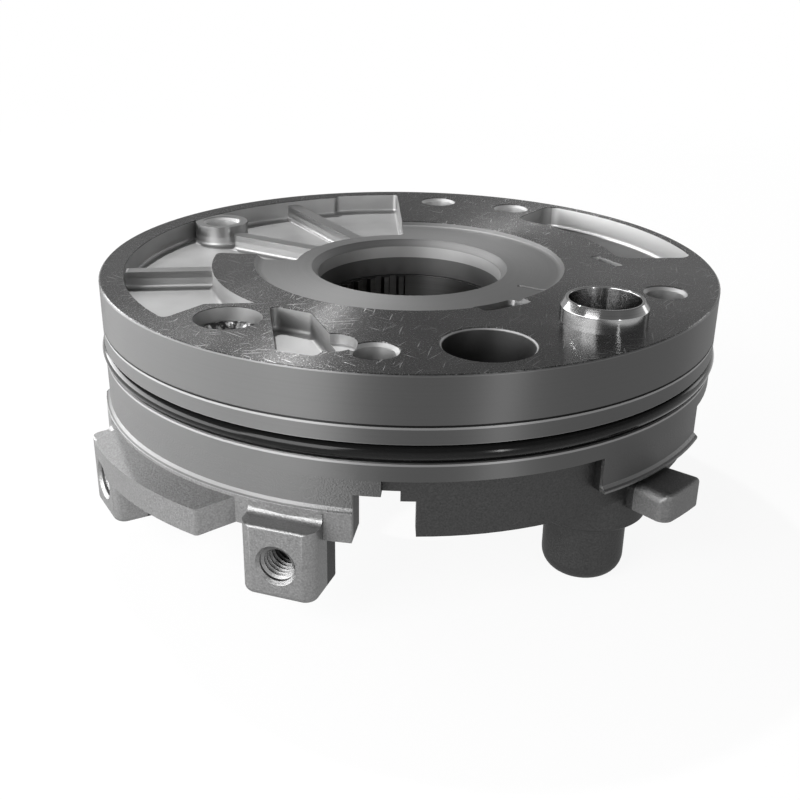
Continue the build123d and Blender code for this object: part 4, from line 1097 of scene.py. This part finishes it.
class CircleTree:
    """Geometry node tree that sets copies of a model round the vertical axis."""

    def __init__(self) -> None:
        """Builds the tree once."""
        self.tree = bpy.data.node_groups.new("copies_on_circle", "GeometryNodeTree")
        self.sockets = {}
        for name, kind in (("Geometry", "NodeSocketGeometry"), ("Model", "NodeSocketObject"),
                           ("Radius", "NodeSocketFloat"), ("Count", "NodeSocketInt"),
                           ("First Angle", "NodeSocketFloat"), ("Material", "NodeSocketMaterial")):
            self.sockets[name] = self.tree.interface.new_socket(name, in_out="INPUT", socket_type=kind).identifier
        self.tree.interface.new_socket("Geometry", in_out="OUTPUT", socket_type="NodeSocketGeometry")
        self.wire()

    def wire(self) -> None:
        """Adds and links the tree's nodes."""
        new, link = self.tree.nodes.new, self.tree.links.new
        given, result = new("NodeGroupInput"), new("NodeGroupOutput")
        ring, turn = new("GeometryNodeMeshCircle"), new("GeometryNodeTransform")
        spin, model = new("ShaderNodeCombineXYZ"), new("GeometryNodeObjectInfo")
        place, real = new("GeometryNodeInstanceOnPoints"), new("GeometryNodeRealizeInstances")
        paint = new("GeometryNodeSetMaterial")
        for start, output, end, name in (
                (given, "Radius", ring, "Radius"), (given, "Count", ring, "Vertices"),
                (given, "First Angle", spin, "Z"), (spin, 0, turn, "Rotation"), (ring, "Mesh", turn, "Geometry"),
                (given, "Model", model, "Object"), (turn, "Geometry", place, "Points"),
                (model, "Geometry", place, "Instance"), (place, "Instances", real, "Geometry"),
                (real, "Geometry", paint, "Geometry"), (given, "Material", paint, "Material"),
                (paint, "Geometry", result, "Geometry")):
            link(start.outputs[output], end.inputs[name])

    def run(self, name: str, model: Object, radius: float, count: int, first_angle: float,
            finish: Finish) -> Object:
        """Makes the ring of copies as a plain mesh.

        Args:
            name: name of the new piece.
            model: object to copy, on the vertical axis.
            radius: circle radius in metres.
            count: number of copies.
            first_angle: angle of the first copy in degrees.
            finish: finish of the copies.

        Returns:
            The piece.
        """
        carrier = bpy.data.objects.new(name, bpy.data.meshes.new(name))
        bpy.context.collection.objects.link(carrier)
        modifier = carrier.modifiers.new("circle", "NODES")
        modifier.node_group = self.tree
        values = {"Model": model, "Radius": radius, "Count": count, "First Angle": math.radians(first_angle),
                  "Material": SHOP.get(finish)}
        for key, value in values.items():
            modifier[self.sockets[key]] = value
        apply_modifiers(carrier)
        return carrier


# ---- the rest of the CAD nodes

class PlainPieces:
    """Small and inner CAD nodes that only take a better material."""

    def build(self) -> None:
        """Puts each finish on the CAD nodes of its slot."""
        slots = {finish.slot: finish for finish in FINISHES}
        for part in frame["record"]["subparts"]:
            node = frame["nodes"][part["node"]]
            node.data.materials.clear()
            node.data.materials.append(SHOP.get(slots[part["material_slot"]]))


class ValveSprings:
    """Springs of the two valves, which shorten as their valves slide."""

    def build(self) -> None:
        """Wraps each spring that the record lets a joint shorten."""
        for joint in frame["record"]["behaviour"]["joints"]:
            for spring in joint.get("deforming_nodes", []):
                self.spring(spring["node"], joint["name"], spring["fixed_end_z_m"], joint["range_m"][1])

    @staticmethod
    def spring(node: str, joint: str, foot: float, travel: float) -> None:
        """Makes one spring.

        Args:
            node: CAD node of the spring.
            joint: joint that shortens it; not used.
            foot: height of its fixed end in metres; not used.
            travel: longest travel of the joint in metres; not used.
        """
        piece = cad_copy(node, node + "_wire")
        shade_by_angle(piece, 50.0)
        finish_piece(piece, SPRING_STEEL, BODY, node)
        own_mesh(piece)


# ---- studio

@dataclass(frozen=True)
class CameraView:
    """Camera of the view that the pump is shown in; distances in metres."""

    lens_mm: float = 49.1
    pitch_deg: float = 23.71
    roll_deg: float = 0.95
    right: float = 2.45 * MM
    down: float = -36.23 * MM
    forward: float = 282.55 * MM


@dataclass(frozen=True)
class Lamp:
    """Soft lamp aimed at the pump."""

    name: str
    place: tuple[float, float, float]
    size: tuple[float, float]
    watts: float


class Studio:
    """Floor, backdrop, lamps and camera."""

    LAMPS = (
        Lamp("left_lamp", (-0.85, 0.08, 0.16), (1.4, 0.4), 16.0),
        Lamp("front_left_lamp", (-0.50, -0.60, 0.36), (0.5, 0.5), 8.0),
        Lamp("high_lamp", (-0.26, 0.50, 0.83), (0.04, 0.04), 6.0),
        Lamp("back_left_lamp", (-0.40, 0.85, 0.62), (0.3, 0.3), 0.8),
        Lamp("front_lamp", (0.5, -0.85, 0.15), (0.05, 0.3), 1.6),
        Lamp("right_lamp", (0.85, 0.5, 0.2), (0.2, 0.3), 0.5),
    )
    FLOOR_Z = -63.3 * MM
    FLOOR_HALF = 3.0
    FLOOR_GREY = 0.86
    CEILING = 0.24
    CEILING_EDGE = (0.3, 0.6)
    FILL = 0.22                  # world's light on the pump, as against the white it shows
    SHADOW_REACH = 0.45
    SHADOW_WHITE = 0.92
    AIM = (0.0, 0.0, -0.02)

    def build(self) -> None:
        """Sets the stage."""
        self.world()
        self.floor()
        for lamp in self.LAMPS:
            self.lamp(lamp)
        self.camera(CameraView())

    @staticmethod
    def world() -> None:
        """World that is seen as white at the horizon and grey overhead, and lights the pump faintly."""
        world = bpy.data.worlds.new("studio")
        bpy.context.scene.world = world
        world.use_nodes = True
        sheet = NodeSheet(world.node_tree)
        path = sheet.add("ShaderNodeLightPath")
        strength = sheet.mix(sheet.seen(path), Studio.FILL, 1.0)
        way = sheet.add("ShaderNodeTexCoord").outputs["Generated"]
        height = sheet.add("ShaderNodeSeparateXYZ", Vector=way).outputs[2]
        pale = sheet.blend(sheet.step(height, *Studio.CEILING_EDGE), 1.0, Studio.CEILING)
        glow = sheet.add("ShaderNodeBackground", Color=sheet.grey(pale), Strength=strength)
        sheet.add("ShaderNodeOutputWorld", Surface=glow.outputs[0])

    def floor(self) -> None:
        """Pale floor that keeps the pump's shadow."""
        mesh = bmesh.new()
        bmesh.ops.create_grid(mesh, x_segments=1, y_segments=1, size=self.FLOOR_HALF)
        floor = new_object("studio_floor", mesh)
        floor.location.z = self.FLOOR_Z
        material = bpy.data.materials.new("floor_look")
        material.use_nodes = True
        sheet = NodeSheet(material.node_tree)
        path = sheet.add("ShaderNodeLightPath")
        matt = sheet.add("ShaderNodeBsdfDiffuse", Color=(*[self.FLOOR_GREY] * 3, 1.0))
        glow = sheet.add("ShaderNodeEmission", Color=(1.0, 1.0, 1.0, 1.0), Strength=1.0)
        place = sheet.add("ShaderNodeTexCoord").outputs["Object"]
        reach = sheet.add("ShaderNodeVectorMath")
        reach.operation = "LENGTH"
        sheet.feed(reach.inputs[0], place)
        far = sheet.step(reach.outputs["Value"], self.SHADOW_REACH, self.SHADOW_REACH)
        share = sheet.both(sheet.seen(path), sheet.blend(far, self.SHADOW_WHITE, 1.0))
        mixed = sheet.add("ShaderNodeMixShader", Fac=share)
        sheet.feed(mixed.inputs[1], matt.outputs[0])
        sheet.feed(mixed.inputs[2], glow.outputs[0])
        sheet.add("ShaderNodeOutputMaterial", Surface=mixed.outputs[0])
        floor.data.materials.append(material)

    @staticmethod
    def lamp(lamp: Lamp) -> None:
        """Adds one soft lamp."""
        data = bpy.data.lights.new(lamp.name, "AREA")
        data.shape = "RECTANGLE"
        data.size, data.size_y = lamp.size
        data.energy = lamp.watts
        thing = bpy.data.objects.new(lamp.name, data)
        thing.location = lamp.place
        aim = Vector(Studio.AIM) - thing.location
        thing.rotation_euler = aim.to_track_quat("-Z", "Y").to_euler()
        bpy.context.collection.objects.link(thing)

    @staticmethod
    def camera(view: CameraView) -> None:
        """Places the camera from its pitch, roll and the pump's place in its own axes."""
        pitch, roll = math.radians(view.pitch_deg), math.radians(view.roll_deg)
        forward = Vector((0.0, math.cos(pitch), -math.sin(pitch)))
        level = Vector((1.0, 0.0, 0.0))
        down = Vector((0.0, -math.sin(pitch), -math.cos(pitch)))
        right = level * math.cos(roll) - down * math.sin(roll)
        down = level * math.sin(roll) + down * math.cos(roll)
        data = bpy.data.cameras.new("camera")
        data.lens = view.lens_mm
        data.clip_start = 0.01
        camera = bpy.data.objects.new("camera", data)
        axes = Matrix((right, -down, -forward)).transposed().to_4x4()
        place = -(right * view.right + down * view.down + forward * view.forward)
        camera.matrix_world = Matrix.Translation(place) @ axes
        bpy.context.collection.objects.link(camera)
        bpy.context.scene.camera = camera


# ---- run


def main() -> None:
    """Builds every sub-assembly, then the studio."""
    logging.basicConfig(level=logging.INFO, format="%(message)s")
    bpy.context.scene.view_settings.view_transform = "Standard"
    for maker in (PlainPieces(), Housing(), SealRing(), FeedSleeve(), GalleryPlug(), ValveSprings(), RotorSet(),
                  CoverSide(), Studio()):
        maker.build()
        LOG.info("built %s", type(maker).__name__)


if __name__ == "__main__":
    main()
